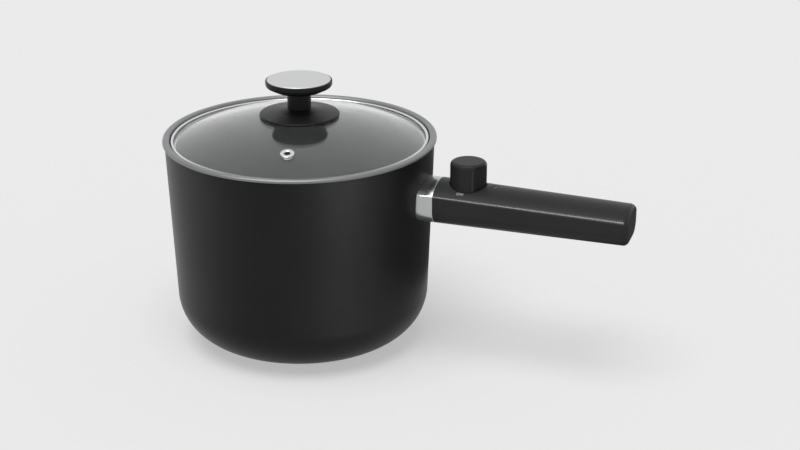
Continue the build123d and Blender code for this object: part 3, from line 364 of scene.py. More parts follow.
def polishedMaterial(name, color, low, high, bump):
    material, shader = newMaterial(name, color, low, 1.0)
    node = placeGroup(material, marksGroup, {"Rough Low": low, "Rough High": high})
    material.node_tree.links.new(node.outputs["Roughness"], shader.inputs["Roughness"])
    addBump(material, shader, node.outputs["Height"], bump, 0.02)
    return material


shellBlack = grainMaterial(
    "shellBlack", (0.0072, 0.0074, 0.0079), 0.33, 0.39, 0.5, 1500.0, 0.08, ior=1.24)
handleBlack = grainMaterial(
    "handleBlack", (0.0255, 0.0258, 0.0258), 0.32, 0.38, 0.5, 2200.0, 0.1, ior=1.19)
knobBlack = grainMaterial(
    "knobBlack", (0.013, 0.013, 0.0133), 0.3, 0.38, 0.5, 2600.0, 0.06, ior=1.24)
baseBlack = grainMaterial(
    "baseBlack", (0.02, 0.02, 0.021), 0.55, 0.68, 0.3, 1100.0, 0.3)
footRubber = grainMaterial(
    "footRubber", (0.028, 0.028, 0.028), 0.7, 0.85, 0.25, 1400.0, 0.35)
vesselCoat = grainMaterial(
    "vesselCoat", (0.21, 0.215, 0.22), 0.3, 0.4, 0.5, 1300.0, 0.12, metallic=0.35)
sealSilicone = grainMaterial(
    "sealSilicone", (0.3, 0.3, 0.3), 0.55, 0.7, 0.4, 1200.0, 0.2)
rimSteel = polishedMaterial("rimSteel", (0.74, 0.745, 0.75), 0.14, 0.24, 0.1)
collarSteel = polishedMaterial("collarSteel", (0.47, 0.475, 0.48), 0.14, 0.2, 0.12)
zincSteel = polishedMaterial("zincSteel", (0.58, 0.585, 0.6), 0.3, 0.45, 0.3)
sheathSteel = polishedMaterial("sheathSteel", (0.32, 0.3, 0.29), 0.35, 0.5, 0.4)
plateAluminium = turnedMaterial("plateAluminium", (0.72, 0.73, 0.74), 0.3, 0.45, 1500.0, 0.3)
contactBrass = polishedMaterial("contactBrass", (0.72, 0.55, 0.26), 0.25, 0.4, 0.2)
whiteCeramic = grainMaterial(
    "whiteCeramic", (0.78, 0.76, 0.72), 0.5, 0.65, 0.4, 1500.0, 0.25, 0.04)
brownResin = grainMaterial(
    "brownResin", (0.09, 0.05, 0.03), 0.35, 0.5, 0.4, 1300.0, 0.2)
whiteNylon = grainMaterial(
    "whiteNylon", (0.72, 0.72, 0.7), 0.4, 0.52, 0.4, 1500.0, 0.15, 0.04)
leadSleeve = grainMaterial(
    "leadSleeve", (0.62, 0.62, 0.6), 0.6, 0.8, 0.3, 2200.0, 0.6, 0.12)
# pale grey print of the OFF legend, partly a painted highlight on the handle's near edge there
offPrintAndPaintedHighlight = grainMaterial(
    "offPrintAndPaintedHighlight", (0.5, 0.5, 0.5), 0.5, 0.6, 0.3, 2500.0, 0.1, 0.06)
# faint lighter grey for the printed 1 and 2 legends, and a painted highlight on the dial's pointer
printAndPaintedHighlight = grainMaterial(
    "printAndPaintedHighlight", (0.045, 0.045, 0.045), 0.4, 0.5, 0.2, 2500.0, 0.1, 0.06)


def makeGlass(name, color, roughness):
    material, shader = newMaterial(name, color, roughness)
    shader.inputs["Transmission Weight"].default_value = 1.0
    shader.inputs["IOR"].default_value = 1.5
    node = placeGroup(material, marksGroup, {"Rough Low": 0.0, "Rough High": roughness})
    material.node_tree.links.new(node.outputs["Roughness"], shader.inputs["Roughness"])
    return material


lidGlass = makeGlass("lidGlass", (0.97, 0.985, 0.98), 0.03)
lampGlass = makeGlass("lampGlass", (0.95, 0.95, 0.95), 0.05)
lensRed = makeGlass("lensRed", (0.35, 0.03, 0.02), 0.12)
print("finishes ready")

shell = {
    "footRadius": 80.2, "topRadius": 85.4, "bigRound": 30.5, "wall": 1.7, "lip": 0.4,
    "coverGap": 0.15, "coverThick": 2.2, "ledgeIn": 4.0, "ledgeOut": 3.0, "ledgeThick": 2.0,
    "leadHole": 5.3, "screwHole": 2.15, "screwOffset": 9.4, "handleHeight": 100.3,
}
shellLow, shellHigh = nodeBox("outer_shell")
potHigh = nodeBox("inner_pot")[1]
coverHigh = nodeBox("base_cover")[1]


def shellAt(height):
    # outside radius of the shell's straight wall
    share = (height - shellLow.z) / (potHigh.z - shellLow.z)
    return shell["footRadius"] + (shell["topRadius"] - shell["footRadius"]) * share


topOut = shellAt(shellHigh.z)
wall = shell["wall"]
coverSeat = shellLow.z + shell["coverThick"]
ledgeRoot = coverHigh.x + shell["ledgeOut"]
shellLine = roundCorners([
    (coverHigh.x + shell["coverGap"], shellLow.z, 0.5),
    (shell["footRadius"], shellLow.z, shell["bigRound"]),
    (topOut, shellHigh.z, shell["lip"]),
    (topOut - wall, shellHigh.z, shell["lip"]),
    (shell["footRadius"] - wall, shellLow.z + wall, shell["bigRound"] - wall),
    (ledgeRoot, shellLow.z + wall, 0.2),
    (ledgeRoot, coverSeat + shell["ledgeThick"], 0.2),
    (coverHigh.x - shell["ledgeIn"], coverSeat + shell["ledgeThick"], 0.3),
    (coverHigh.x - shell["ledgeIn"], coverSeat, 0.3),
    (coverHigh.x + shell["coverGap"], coverSeat, 0.1),
], steps=18, closed=True)
outerShell = spinPiece("outerShell", shellLine, 224)
carve(outerShell, rod(shell["leadHole"], 70, 100, (0, shell["handleHeight"]), 48, lying=True))
for side in (-1, 1):
    place = (side * shell["screwOffset"], shell["handleHeight"])
    carve(outerShell, rod(shell["screwHole"], 70, 100, place, 32, lying=True))
finishPiece(outerShell, "pot", shellBlack, ["outer_shell"])
print("outer shell done")

vessel = {
    "wall": 1.0, "floor": 33.0, "floorRadius": 73.0, "mouthRadius": 77.6, "cornerRound": 14.0,
    "seatRadius": 82.2, "seatDepth": 7.0, "seatBend": 1.2, "seatUnderBend": 2.2,
    "rimBend": 1.3, "flangeDrop": 2.2, "flangeBend": 0.4,
}
rimTop = potHigh.z
flangeOut = potHigh.x
seatTop = rimTop - vessel["seatDepth"]
wall = vessel["wall"]
vesselLine = roundCorners([
    (0, vessel["floor"], 0),
    (vessel["floorRadius"], vessel["floor"], vessel["cornerRound"]),
    (vessel["mouthRadius"], seatTop, vessel["seatBend"]),
    (vessel["seatRadius"], seatTop, vessel["seatBend"]),
    (vessel["seatRadius"], rimTop, vessel["rimBend"]),
    (flangeOut, rimTop, vessel["rimBend"]),
    (flangeOut, rimTop - vessel["flangeDrop"], vessel["flangeBend"]),
    (flangeOut - wall, rimTop - vessel["flangeDrop"], vessel["flangeBend"]),
    (flangeOut - wall, rimTop - wall, vessel["flangeBend"]),
    (vessel["seatRadius"] + wall, rimTop - wall, vessel["flangeBend"]),
    (vessel["seatRadius"] + wall, seatTop - wall, vessel["seatUnderBend"]),
    (vessel["mouthRadius"] + wall, seatTop - wall, vessel["seatBend"]),
    (vessel["floorRadius"] + wall, vessel["floor"] - wall, vessel["cornerRound"] + wall),
    (0, vessel["floor"] - wall, 0),
], steps=10)
innerPot = spinPiece("innerPot", vesselLine, 224)
finishPiece(innerPot, "pot", vesselCoat, ["inner_pot"])
print("vessel done")

lid = {
    "band": 0.5, "gap": 0.1, "glass": 3.0, "dome": 16.8, "centreHole": 3.2, "edgeRound": 0.6,
    "edgeRun": 2, "edgeTrim": 0.7, "beadWidth": 1.9, "under": 4.2, "bend": 0.7,
}
glassHigh = nodeBox("lid_glass")[1]
rimLow, rimHigh = nodeBox("lid_rim")
glassOut = glassHigh.x
glassEdge = rimLow.z + lid["band"] + lid["gap"]
domeRadius = (glassOut ** 2 + lid["dome"] ** 2) / (2 * lid["dome"])
domeMiddle = glassEdge - sqrt((domeRadius - lid["glass"]) ** 2 - glassOut ** 2)


def glassTop(radius):
    return domeMiddle + sqrt(domeRadius ** 2 - radius ** 2)


def glassUnder(radius):
    return domeMiddle + sqrt((domeRadius - lid["glass"]) ** 2 - radius ** 2)


domeSteps = 40
edgeStart = glassOut - lid["edgeRun"]
edgeTrim = glassOut - lid["edgeTrim"]
arcOuts = [(glassOut - 0.001) * step / domeSteps for step in range(domeSteps + 1)]
glassLine = [Vector((max(out, lid["centreHole"]), glassTop(max(out, lid["centreHole"])))) for out in arcOuts]
glassLine += roundCorners([
    (edgeStart, glassTop(edgeStart), 0),
    (glassOut, glassTop(glassOut), lid["edgeRound"]),
    (glassOut, glassUnder(glassOut), lid["edgeRound"]),
    (edgeStart, glassUnder(edgeStart), 0),
], steps=5)[1:-1]
# the arcs' last points would lie outside the rounded edge
glassLine = [point for point in glassLine if point.x < edgeTrim or point.y < glassTop(glassOut) - 0.01]
glassLine += [Vector((max(out, lid["centreHole"]), glassUnder(max(out, lid["centreHole"]))))
              for out in reversed(arcOuts) if out < edgeTrim]
glassLine.append(glassLine[0])
lidDome = spinPiece("lidDome", glassLine, 160)

vent = {"inset": 25.4, "angle": -76.1, "hole": 3.0, "bore": 1.9, "flange": 4.3, "sheet": 0.6, "cutHalf": 9}
ventOut = rimHigh.x - vent["inset"]
ventTurn = radians(vent["angle"])
ventPlace = Vector((ventOut * cos(ventTurn), ventOut * sin(ventTurn), glassTop(ventOut)))
ventAxis = (ventPlace - Vector((0, 0, domeMiddle))).normalized()
cutCorners = ((0, -vent["cutHalf"]), (vent["hole"], -vent["cutHalf"]), (vent["hole"], vent["cutHalf"]),
              (0, vent["cutHalf"]))
ventCut = spinPiece("ventCut", [Vector(corner) for corner in cutCorners], 48, ventPlace, ventAxis)
carve(lidDome, ventCut)
finishPiece(lidDome, "lid", lidGlass, ["lid_glass"], 25)

band = lid["band"]
beadIn = rimHigh.x - lid["beadWidth"]
beadFoot = glassTop(beadIn) + lid["gap"]
outBend = lid["bend"]
rimLine = roundCorners([
    (beadIn, beadFoot, 0.1),
    (beadIn, rimHigh.z, outBend),
    (rimHigh.x, rimHigh.z, outBend),
    (rimHigh.x, rimLow.z, outBend),
    (rimHigh.x - lid["under"], rimLow.z, 0.15),
    (rimHigh.x - lid["under"], rimLow.z + band, 0.15),
    (rimHigh.x - band, rimLow.z + band, outBend - band),
    (rimHigh.x - band, rimHigh.z - band, outBend - band),
    (beadIn + band, rimHigh.z - band, outBend - band),
    (beadIn + band, beadFoot, 0.1),
], steps=6, closed=True)
lidRim = spinPiece("lidRim", rimLine, 224)
finishPiece(lidRim, "lid", rimSteel, ["lid_rim"])

inside = vent["hole"] - 0.1
under = -lid["glass"] - 0.1
ventLine = roundCorners([
    (vent["bore"], vent["sheet"] + 0.1, 0.45),
    (vent["flange"], vent["sheet"] + 0.1, 0.3),
    (vent["flange"], 0.1, 0.12),
    (inside, 0.1, 0),
    (inside, under, 0),
    (vent["flange"] - vent["sheet"], under, 0.15),
    (vent["flange"] - vent["sheet"], under - vent["sheet"], 0.3),
    (vent["bore"], under - vent["sheet"], 0.45),
], steps=6, closed=True)
ventEyelet = spinPiece("ventEyelet", ventLine, 64, ventPlace, ventAxis)
finishPiece(ventEyelet, "lid", rimSteel, ["vent_eyelet"])
print("lid done")

knob = {
    "screwHole": 2.6, "gasket": 9.1, "neck": 7.5, "skirtEdge": 1.6, "sweepOut": 6, "sweepDrop": 1.5,
    "sweepBend": 12, "neckRise": 11.2, "underRadius": 15.2, "underRise": 0.5, "flareRise": 3.0,
    "flareBend": 2.2, "recess": 0.8, "insertHole": 4.25, "insertDepth": 9.1, "discEdge": 0.35,
}
skirtLow, skirtHigh = nodeBox("knob_skirt")
headLow, headHigh = nodeBox("knob_head")
discLow, discHigh = nodeBox("knob_inlay")
gasketHigh = nodeBox("knob_gasket")[1]
skirtOut = skirtHigh.x
skirtLine = roundCorners([
    (knob["screwHole"], gasketHigh.z, 0),
    (knob["gasket"], gasketHigh.z, 0),
    (knob["gasket"], glassTop(knob["gasket"]) + 0.2, 0.1),
    (skirtOut, skirtLow.z, 0.5),
    (skirtOut, skirtLow.z + knob["skirtEdge"], 0.9),
    (knob["neck"] + knob["sweepOut"], skirtHigh.z - knob["sweepDrop"], knob["sweepBend"]),
    (knob["neck"], skirtHigh.z, 0.1),
    (knob["screwHole"], skirtHigh.z, 0),
], steps=8, closed=True)
knobSkirt = spinPiece("knobSkirt", skirtLine, 128)
finishPiece(knobSkirt, "lid", knobBlack, ["knob_skirt"], 25)

neckTop = headLow.z + knob["neckRise"]
flareTop = neckTop + knob["underRise"] + knob["flareRise"]
headOut = headHigh.x
headLine = roundCorners([
    (0, headLow.z + knob["insertDepth"], 0),
    (knob["insertHole"], headLow.z + knob["insertDepth"], 0),
    (knob["insertHole"], headLow.z, 0),
    (knob["neck"], headLow.z, 0.15),
    (knob["neck"], neckTop, 1.1),
    (knob["underRadius"], neckTop + knob["underRise"], knob["flareBend"]),
    (headOut, flareTop, knob["flareBend"]),
    (headOut, headHigh.z, 0.5),
    (discHigh.x + 0.1, headHigh.z, 0.15),
    (discHigh.x + 0.1, headHigh.z - knob["recess"], 0),
    (0, headHigh.z - knob["recess"], 0),
], steps=8)
knobHead = spinPiece("knobHead", headLine, 128)
finishPiece(knobHead, "lid", knobBlack, ["knob_head"], 25)

discLine = roundCorners([
    (0, discLow.z, 0),
    (discHigh.x, discLow.z, 0.1),
    (discHigh.x, discHigh.z, knob["discEdge"]),
    (0, discHigh.z, 0),
], steps=6)
knobDisc = spinPiece("knobDisc", discLine, 128)
discSteel = turnedMaterial("discSteel", (0.66, 0.665, 0.67), 0.3, 0.42, 2600.0, 0.25)
finishPiece(knobDisc, "lid", discSteel, ["knob_inlay"], 40)
print("knob done")

handle = {
    "height": 100.3, "rootWidth": 34.0, "tipWidth": 32.4, "rootRise": 15.2, "tipRise": 11.2,
    "rootSide": 9.1, "tipSide": 6.2, "rootDrop": 10.4, "tipDrop": 11.3, "rootRidge": 2.6, "tipRidge": 4.0,
    "bottomRound": 9.8, "tailEdge": 3.4, "wall": 2.2, "endWall": 2.6, "archSteps": 28, "bendSteps": 9,
    "cuts": 11, "postOffset": 9.4, "postRadius": 3.4, "postReach": 7.0, "screwHole": 2.0, "leadHole": 4.4,
    "bossRadius": 3.9, "bossBore": 1.45, "bossDepth": 9.8, "headHole": 2.9, "headRecess": 2.6,
    "frontScrew": 53.0, "rearScrew": 41.0, "lensHole": 1.95, "lensSeat": 2.85, "sleeveRadius": 3.85,
    "glandHole": 4.95, "glandSeat": 6.55, "glandFlange": 1.4, "cutPast": 5, "cutSide": 40, "cutFoot": 60,
}
bodyLow, bodyHigh = nodeBox("handle_body")
bottomHigh = nodeBox("handle_cover")[1]
collarHigh = nodeBox("collar")[1]
rootX = collarHigh.x
tailX = bodyHigh.x


def along(x, atRoot, atTip):
    # straight change of a size from the handle's root to its tail
    return atRoot + (atTip - atRoot) * (x - rootX) / (tailX - rootX)


def topOfHandle(x):
    return handle["height"] + along(x, handle["rootRise"], handle["tipRise"])


def bottomOfHandle(x):
    return handle["height"] - along(x, handle["rootDrop"], handle["tipDrop"])


def archOf(x):
    # middle height and radius of the arched roof at x
    halfWidth = along(x, handle["rootWidth"], handle["tipWidth"]) / 2
    rise = along(x, handle["rootRise"] - handle["rootSide"], handle["tipRise"] - handle["tipSide"])
    radius = (halfWidth ** 2 + rise ** 2) / (2 * rise)
    return topOfHandle(x) - radius, radius


def roofAt(x, side):
    middle, radius = archOf(x)
    return middle + sqrt(radius ** 2 - side ** 2)


def arcLine(side, height, radius, start, end, steps):
    # turns are measured from straight up towards +Y
    turns = [start + (end - start) * step / steps for step in range(steps + 1)]
    return [Vector((side + radius * sin(turn), height + radius * cos(turn))) for turn in turns]


def handleLine(x, inset):
    # (side, height) round the handle at x, drawn in by inset: over the arch, then down and back below
    middle, radius = archOf(x)
    radius -= inset
    side = along(x, handle["rootWidth"], handle["tipWidth"]) / 2 - inset
    ridge = along(x, handle["rootRidge"], handle["tipRidge"]) - inset / 2
    low = handle["bottomRound"] - inset
    bottom = bottomOfHandle(x) + inset
    ridgeHeight = middle + sqrt((radius - ridge) ** 2 - (side - ridge) ** 2)
    lean = atan2(side - ridge, ridgeHeight - middle)
    steps = handle["bendSteps"]
    line = arcLine(0, middle, radius, -lean, lean, handle["archSteps"])
    line += arcLine(side - ridge, ridgeHeight, ridge, lean, pi / 2, steps)[1:]
    line += arcLine(side - low, bottom + low, low, pi / 2, pi, steps)
    line += arcLine(low - side, bottom + low, low, pi, 1.5 * pi, steps)
    line += arcLine(ridge - side, ridgeHeight, ridge, 1.5 * pi, 2 * pi - lean, steps)
    return line


def addLoop(x, line):
    # in edit mode, one vertex is extruded round the line, which lies across the handle at x
    places = [Vector((x, side, height)) * mm for side, height in line]
    bpy.ops.mesh.primitive_plane_add(size=mm, location=places[0])
    bpy.ops.mesh.merge(type="CENTER")
    for start, end in zip(places, places[1:]):
        bpy.ops.mesh.extrude_vertices_move(TRANSFORM_OT_translate={"value": end - start})


def handleForm(name, front, back, inset, edge=0.0, straight=False):
    # closed form bridged between two outlines, its far end rounded by edge
    deselectAll()
    bpy.ops.mesh.primitive_plane_add(size=mm, location=(0, 0, 0))
    form = bpy.context.object
    form.name = name
    bpy.ops.object.mode_set(mode="EDIT")
    bpy.ops.mesh.select_mode(type="VERT")
    bpy.ops.mesh.delete(type="VERT")
    for x in (front, back):
        addLoop(x, handleLine(rootX if straight else x, inset))
    bpy.ops.mesh.select_all(action="SELECT")
    bpy.ops.mesh.remove_doubles(threshold=0.002 * mm)
    bpy.ops.mesh.bridge_edge_loops(number_cuts=1 if straight else handle["cuts"], interpolation="LINEAR")
    for end in (front, back):
        pick("EDGE", lambda spot: abs(spot.x - end) < 0.01)
        bpy.ops.mesh.edge_face_add()
    if edge:
        pick("EDGE", lambda spot: abs(spot.x - back) < 0.01)
        bpy.ops.mesh.bevel(offset=edge * mm, segments=8, profile=0.5, affect="EDGES")
    closeMesh()
    return form


dialSet = {
    "radius": 11.35, "clear": 0.4, "seat": 2.0, "bushHole": 4.6, "round": 2.6, "bore": 8.5, "topWall": 2.4,
    "hub": 5.2, "hubLift": 5.0, "shaftBore": 3.05, "scoopRadius": 16.0, "scoopDepth": 1.5, "scoopTop": 1.0,
    "scoopAngle": -33.0, "pointerAngle": -62.0, "pointerWidth": 0.8, "pointerProud": 0.22,
    "pointerTop": 3.2, "pointerFoot": 1.2, "pointerDepth": 1.4, "pointerBevel": 0.2,
}
dialLow, dialHigh = nodeBox("dial")
dialX = (dialLow.x + dialHigh.x) / 2
pocketRadius = dialSet["radius"] + dialSet["clear"]
pocketFloor = dialLow.z - dialSet["clear"]
lensLow, lensHigh = nodeBox("indicator_lens")
lensX = (lensLow.x + lensHigh.x) / 2
screwPlaces = (rootX + handle["frontScrew"], tailX - handle["rearScrew"])
aboveHandle = 140


def hollowHandle(name):
    # the dial's cup and the posts stay solid, because the core is cut back round them
    form = handleForm(name, rootX, tailX, 0, handle["tailEdge"])
    core = handleForm("core", rootX + handle["endWall"], tailX - handle["endWall"], handle["wall"])
    carve(core, rod(pocketRadius + handle["wall"], pocketFloor - dialSet["seat"], aboveHandle, (dialX, 0)))
    for side in (-1, 1):
        post = (side * handle["postOffset"], handle["height"])
        carve(core, rod(handle["postRadius"], rootX, rootX + handle["endWall"] + handle["postReach"], post, 48,
                        lying=True))
    for x in screwPlaces:
        carve(core, rod(handle["bossRadius"], 60, aboveHandle, (x, 0), 48))
    carve(core, rod(handle["sleeveRadius"], lensLow.z - 6, aboveHandle, (lensX, 0), 48))
    carve(form, core)
    return form


handleBody = hollowHandle("handleBody")
carve(handleBody, block(
    (rootX - handle["cutPast"], -handle["cutSide"], bodyLow.z),
    (tailX + handle["cutPast"], handle["cutSide"], aboveHandle)), "INTERSECT")
carve(handleBody, rod(pocketRadius, pocketFloor, aboveHandle, (dialX, 0), 128))
carve(handleBody, rod(dialSet["bushHole"], pocketFloor - 5, pocketFloor + 1, (dialX, 0), 64))
carve(handleBody, rod(handle["lensHole"], lensHigh.z - 5, lensHigh.z + 3, (lensX, 0), 48))
carve(handleBody, rod(handle["lensSeat"], lensLow.z - 7, lensHigh.z - 2.3, (lensX, 0), 48))
carve(handleBody, rod(handle["leadHole"], rootX - 1, rootX + 5, (0, handle["height"]), 48, lying=True))
for side in (-1, 1):
    carve(handleBody, rod(handle["screwHole"], rootX - 1, rootX + handle["endWall"] + handle["postReach"] + 1,
                          (side * handle["postOffset"], handle["height"]), 32, lying=True))
for x in screwPlaces:
    carve(handleBody, rod(handle["bossBore"], bodyLow.z - 1, bodyLow.z + handle["bossDepth"], (x, 0), 32))
finishPiece(handleBody, "pot", handleBlack, ["handle_body"])

handleCover = hollowHandle("handleCover")
carve(handleCover, block(
    (rootX - handle["cutPast"], -handle["cutSide"], handle["cutFoot"]),
    (tailX + handle["cutPast"], handle["cutSide"], bottomHigh.z)), "INTERSECT")
glandLow, glandHigh = nodeBox("cord_gland")
glandX = (glandLow.x + glandHigh.x) / 2
carve(handleCover, rod(handle["glandSeat"], 80, glandLow.z + handle["glandFlange"], (glandX, 0), 64))
carve(handleCover, rod(handle["glandHole"], 80, bottomHigh.z + 1, (glandX, 0), 64))
for x in screwPlaces:
    carve(handleCover, rod(handle["headHole"], 80, bottomOfHandle(x) + handle["headRecess"], (x, 0), 48))
    carve(handleCover, rod(handle["bossBore"] + 0.15, 80, bottomHigh.z + 1, (x, 0), 32))
finishPiece(handleCover, "pot", handleBlack, ["handle_cover"])
print("handle done")

collar = {"wall": 1.2, "edge": 0.35, "reach": 24, "gap": 0.1, "coneDepth": 60}
collarPiece = handleForm("collarBand", rootX - collar["reach"], rootX, 0, collar["edge"], straight=True)
carve(collarPiece, handleForm("bore", rootX - collar["reach"] - 2, rootX + 2, collar["wall"], straight=True))
coneFoot = handle["height"] - collar["coneDepth"] / 2
deselectAll()
bpy.ops.mesh.primitive_cone_add(
    vertices=224, radius1=(shellAt(coneFoot) + collar["gap"]) * mm,
    radius2=(shellAt(coneFoot + collar["coneDepth"]) + collar["gap"]) * mm,
    depth=collar["coneDepth"] * mm, location=(0, 0, handle["height"] * mm))
bpy.ops.object.transform_apply()
carve(collarPiece, bpy.context.object)
finishPiece(collarPiece, "pot", collarSteel, ["collar"])
print("collar done")

dialTop = dialHigh.z - dialSet["topWall"]
dialLine = roundCorners([
    (0, dialTop, 0),
    (dialSet["shaftBore"], dialTop, 0),
    (dialSet["shaftBore"], dialLow.z + dialSet["hubLift"], 0.2),
    (dialSet["hub"], dialLow.z + dialSet["hubLift"], 0.2),
    (dialSet["hub"], dialTop, 0.3),
    (dialSet["bore"], dialTop, 0.3),
    (dialSet["bore"], dialLow.z, 0.2),
    (dialSet["radius"], dialLow.z, 0.25),
    (dialSet["radius"], dialHigh.z, dialSet["round"]),
    (0, dialHigh.z, 0),
], steps=10)
dialKnob = spinPiece("dialKnob", dialLine, 128, (dialX, 0, 0))
scoopOut = dialSet["radius"] + dialSet["scoopRadius"] - dialSet["scoopDepth"]
for turn in (dialSet["scoopAngle"], dialSet["scoopAngle"] + 180):
    spot = (dialX + scoopOut * cos(radians(turn)), scoopOut * sin(radians(turn)), 0)
    scoopLine = roundCorners([
        (0, dialLow.z - 5, 0), (dialSet["scoopRadius"], dialLow.z - 5, 0),
        (dialSet["scoopRadius"], dialHigh.z - dialSet["scoopTop"], 0.8),
        (0, dialHigh.z - dialSet["scoopTop"], 0)], steps=5)
    carve(dialKnob, spinPiece("scoopCut", scoopLine, 160, spot))
finishPiece(dialKnob, "dial", handleBlack, ["dial"])

# raised pointer on the dial's side, its long edges rounded over; its lighter grey is a painted highlight, the
# light line along the scoop's edge
pointerTurn = radians(dialSet["pointerAngle"])
pointerOut = dialSet["radius"] + dialSet["pointerProud"]
half = dialSet["pointerWidth"] / 2
pointer = block((pointerOut - dialSet["pointerDepth"], -half, dialLow.z + dialSet["pointerFoot"]),
                (pointerOut, half, dialHigh.z - dialSet["pointerTop"]))
makeActive(pointer)
pointer.name = "pointerAndPaintedHighlight"
bpy.ops.object.mode_set(mode="EDIT")
pick("EDGE", lambda spot: spot.x > pointerOut - dialSet["pointerBevel"] / 2)
bpy.ops.mesh.bevel(offset=dialSet["pointerBevel"] * mm, segments=4, profile=0.5, affect="EDGES")
bpy.ops.object.mode_set(mode="OBJECT")
pointer.rotation_euler = (0, 0, pointerTurn)
pointer.location = (dialX * mm, 0, 0)
bpy.ops.object.transform_apply()
finishPiece(pointer, "dial", printAndPaintedHighlight, [])
print("dial done")

# legends printed on the handle's roof; the OFF legend's pale grey, far brighter than the 1 and 2, is partly a
# painted highlight
legends = {
    "offLegendAndPaintedHighlight": {"words": "OFF", "size": 2.6, "place": (109.3, -12.95)},
    "legendLow": {"words": "1", "size": 2.6, "turn": -17.0},
    "legendHigh": {"words": "2", "size": 2.6, "turn": 28.0},
}
legendReach = 14.6
legendProud = 0.03
legendThick = 0.05
for name, settings in legends.items():
    if "place" in settings:
        x, side = settings["place"]
        paint = offPrintAndPaintedHighlight
    else:
        turn = radians(settings["turn"])
        x, side = dialX + legendReach * cos(turn), legendReach * sin(turn)
        paint = printAndPaintedHighlight
    deselectAll()
    bpy.ops.object.text_add()
    label = bpy.context.object
    label.name = name
    label.data.body = settings["words"]
    label.data.size = settings["size"] * mm
    label.data.extrude = legendThick * mm
    label.data.align_x = "CENTER"
    label.data.align_y = "CENTER"
    bpy.ops.object.convert(target="MESH")
    label = bpy.context.object
    slope = Vector((1, 0, (roofAt(x + 1, side) - roofAt(x - 1, side)) / 2)).normalized()
    rise = Vector((0, 1, (roofAt(x, side + 1) - roofAt(x, side - 1)) / 2)).normalized()
    out = slope.cross(rise).normalized()
    turned = Matrix((slope, out.cross(slope), out)).transposed().to_4x4()
    spot = Vector((x, side, roofAt(x, side))) + out * legendProud
    label.matrix_world = Matrix.Translation(spot * mm) @ turned
    bpy.ops.object.transform_apply()
    finishPiece(label, "pot", paint, [])
print("legend done")

foot = {"round": 0.9, "inner": 6.0}
footLow, footHigh = nodeBox("ring_foot")
footLine = roundCorners([
    (footHigh.x - foot["inner"], footLow.z, foot["round"]),
    (footHigh.x, footLow.z, foot["round"]),
    (footHigh.x, footHigh.z, 0.15),
    (footHigh.x - foot["inner"], footHigh.z, 0.15),
], steps=6, closed=True)
footRing = spinPiece("footRing", footLine, 192)
finishPiece(footRing, "pot", footRubber, ["ring_foot"])

screwSet = {
    "head": 3.7, "headRise": 2.2, "shank": 1.95, "crossWide": 1.0, "crossLong": 4.4, "crossDeep": 1.2,
    "circle": 30.0, "coverHead": 2.7, "coverHeadRise": 1.8, "coverShank": 1.4, "coverLength": 12.8,
}


def makeScrew(name, head, headRise, shank, low, high):
    # a screw pointing up on the Z axis, its head below with a cross recess
    line = roundCorners([
        (0, low, 0), (head, low, 0.5), (head, low + headRise, 0.1), (shank, low + headRise, 0.15),
        (shank, high - shank, 0.1), (0, high, 0)], steps=5)
    screw = spinPiece(name, line, 48)
    share = head / screwSet["head"]
    longHalf = screwSet["crossLong"] / 2 * share
    wideHalf = screwSet["crossWide"] / 2 * share
    deep = low + screwSet["crossDeep"] * share
    carve(screw, block((-longHalf, -wideHalf, low - 1), (longHalf, wideHalf, deep)))
    carve(screw, block((-wideHalf, -longHalf, low - 1), (wideHalf, longHalf, deep)))
    return screw


def setScrews(screw, places, node):
    # the modelled screw is copied to each place and then goes
    for number, place in enumerate(places, 1):
        makeActive(screw)
        bpy.ops.object.duplicate()
        copy = bpy.context.object
        copy.name = f"{screw.name}{number}"
        copy.rotation_euler = (0, 0, number * 0.7)
        copy.location = Vector(place) * mm
        bpy.ops.object.transform_apply()
        finishPiece(copy, "pot", zincSteel, [node])
    bpy.data.objects.remove(screw)


studLow, studHigh = nodeBox("base_screws")
baseScrew = makeScrew(
    "baseScrew", screwSet["head"], screwSet["headRise"], screwSet["shank"], studLow.z, studHigh.z)
studTurns = [radians(turn) for turn in (60, 180, 300)]
studPlaces = [(screwSet["circle"] * cos(turn), screwSet["circle"] * sin(turn), 0) for turn in studTurns]
setScrews(baseScrew, studPlaces, "base_screws")
coverScrewLow = nodeBox("cover_screws")[0]
rearFoot = bottomOfHandle(screwPlaces[1])
coverScrew = makeScrew(
    "coverScrew", screwSet["coverHead"], screwSet["coverHeadRise"], screwSet["coverShank"], coverScrewLow.z,
    coverScrewLow.z + screwSet["coverLength"])
setScrews(coverScrew, [(x, 0, bottomOfHandle(x) - rearFoot) for x in screwPlaces], "cover_screws")

glandSet = {"flange": 6.4, "flangeThick": 1.4, "neck": 4.9, "bore": 3.3}
glandLine = roundCorners([
    (glandSet["bore"], glandLow.z, 0.6),
    (glandSet["flange"], glandLow.z, 0.7),
    (glandSet["flange"], glandLow.z + glandSet["flangeThick"], 0.1),
    (glandSet["neck"], glandLow.z + glandSet["flangeThick"], 0.1),
    (glandSet["neck"], glandHigh.z, 0.3),
    (glandSet["bore"], glandHigh.z, 0.4),
], steps=6, closed=True)
cordGland = spinPiece("cordGland", glandLine, 96, (glandX, 0, 0))
finishPiece(cordGland, "pot", footRubber, ["cord_gland"])

lensSet = {"radius": 1.9, "flange": 2.8, "flangeThick": 0.8, "crown": 0.25}
lensFloor = lensLow.z + lensSet["flangeThick"]
lensLine = roundCorners([
    (0, lensLow.z, 0),
    (lensSet["flange"], lensLow.z, 0.1),
    (lensSet["flange"], lensFloor, 0.1),
    (lensSet["radius"], lensFloor, 0.05),
    (lensSet["radius"], lensHigh.z - lensSet["crown"], 0.3),
    (0, lensHigh.z, 0),
], steps=5)
indicatorLens = spinPiece("indicatorLens", lensLine, 64, (lensX, 0, 0))
finishPiece(indicatorLens, "pot", lensRed, ["indicator_lens"])
print("small pieces done")

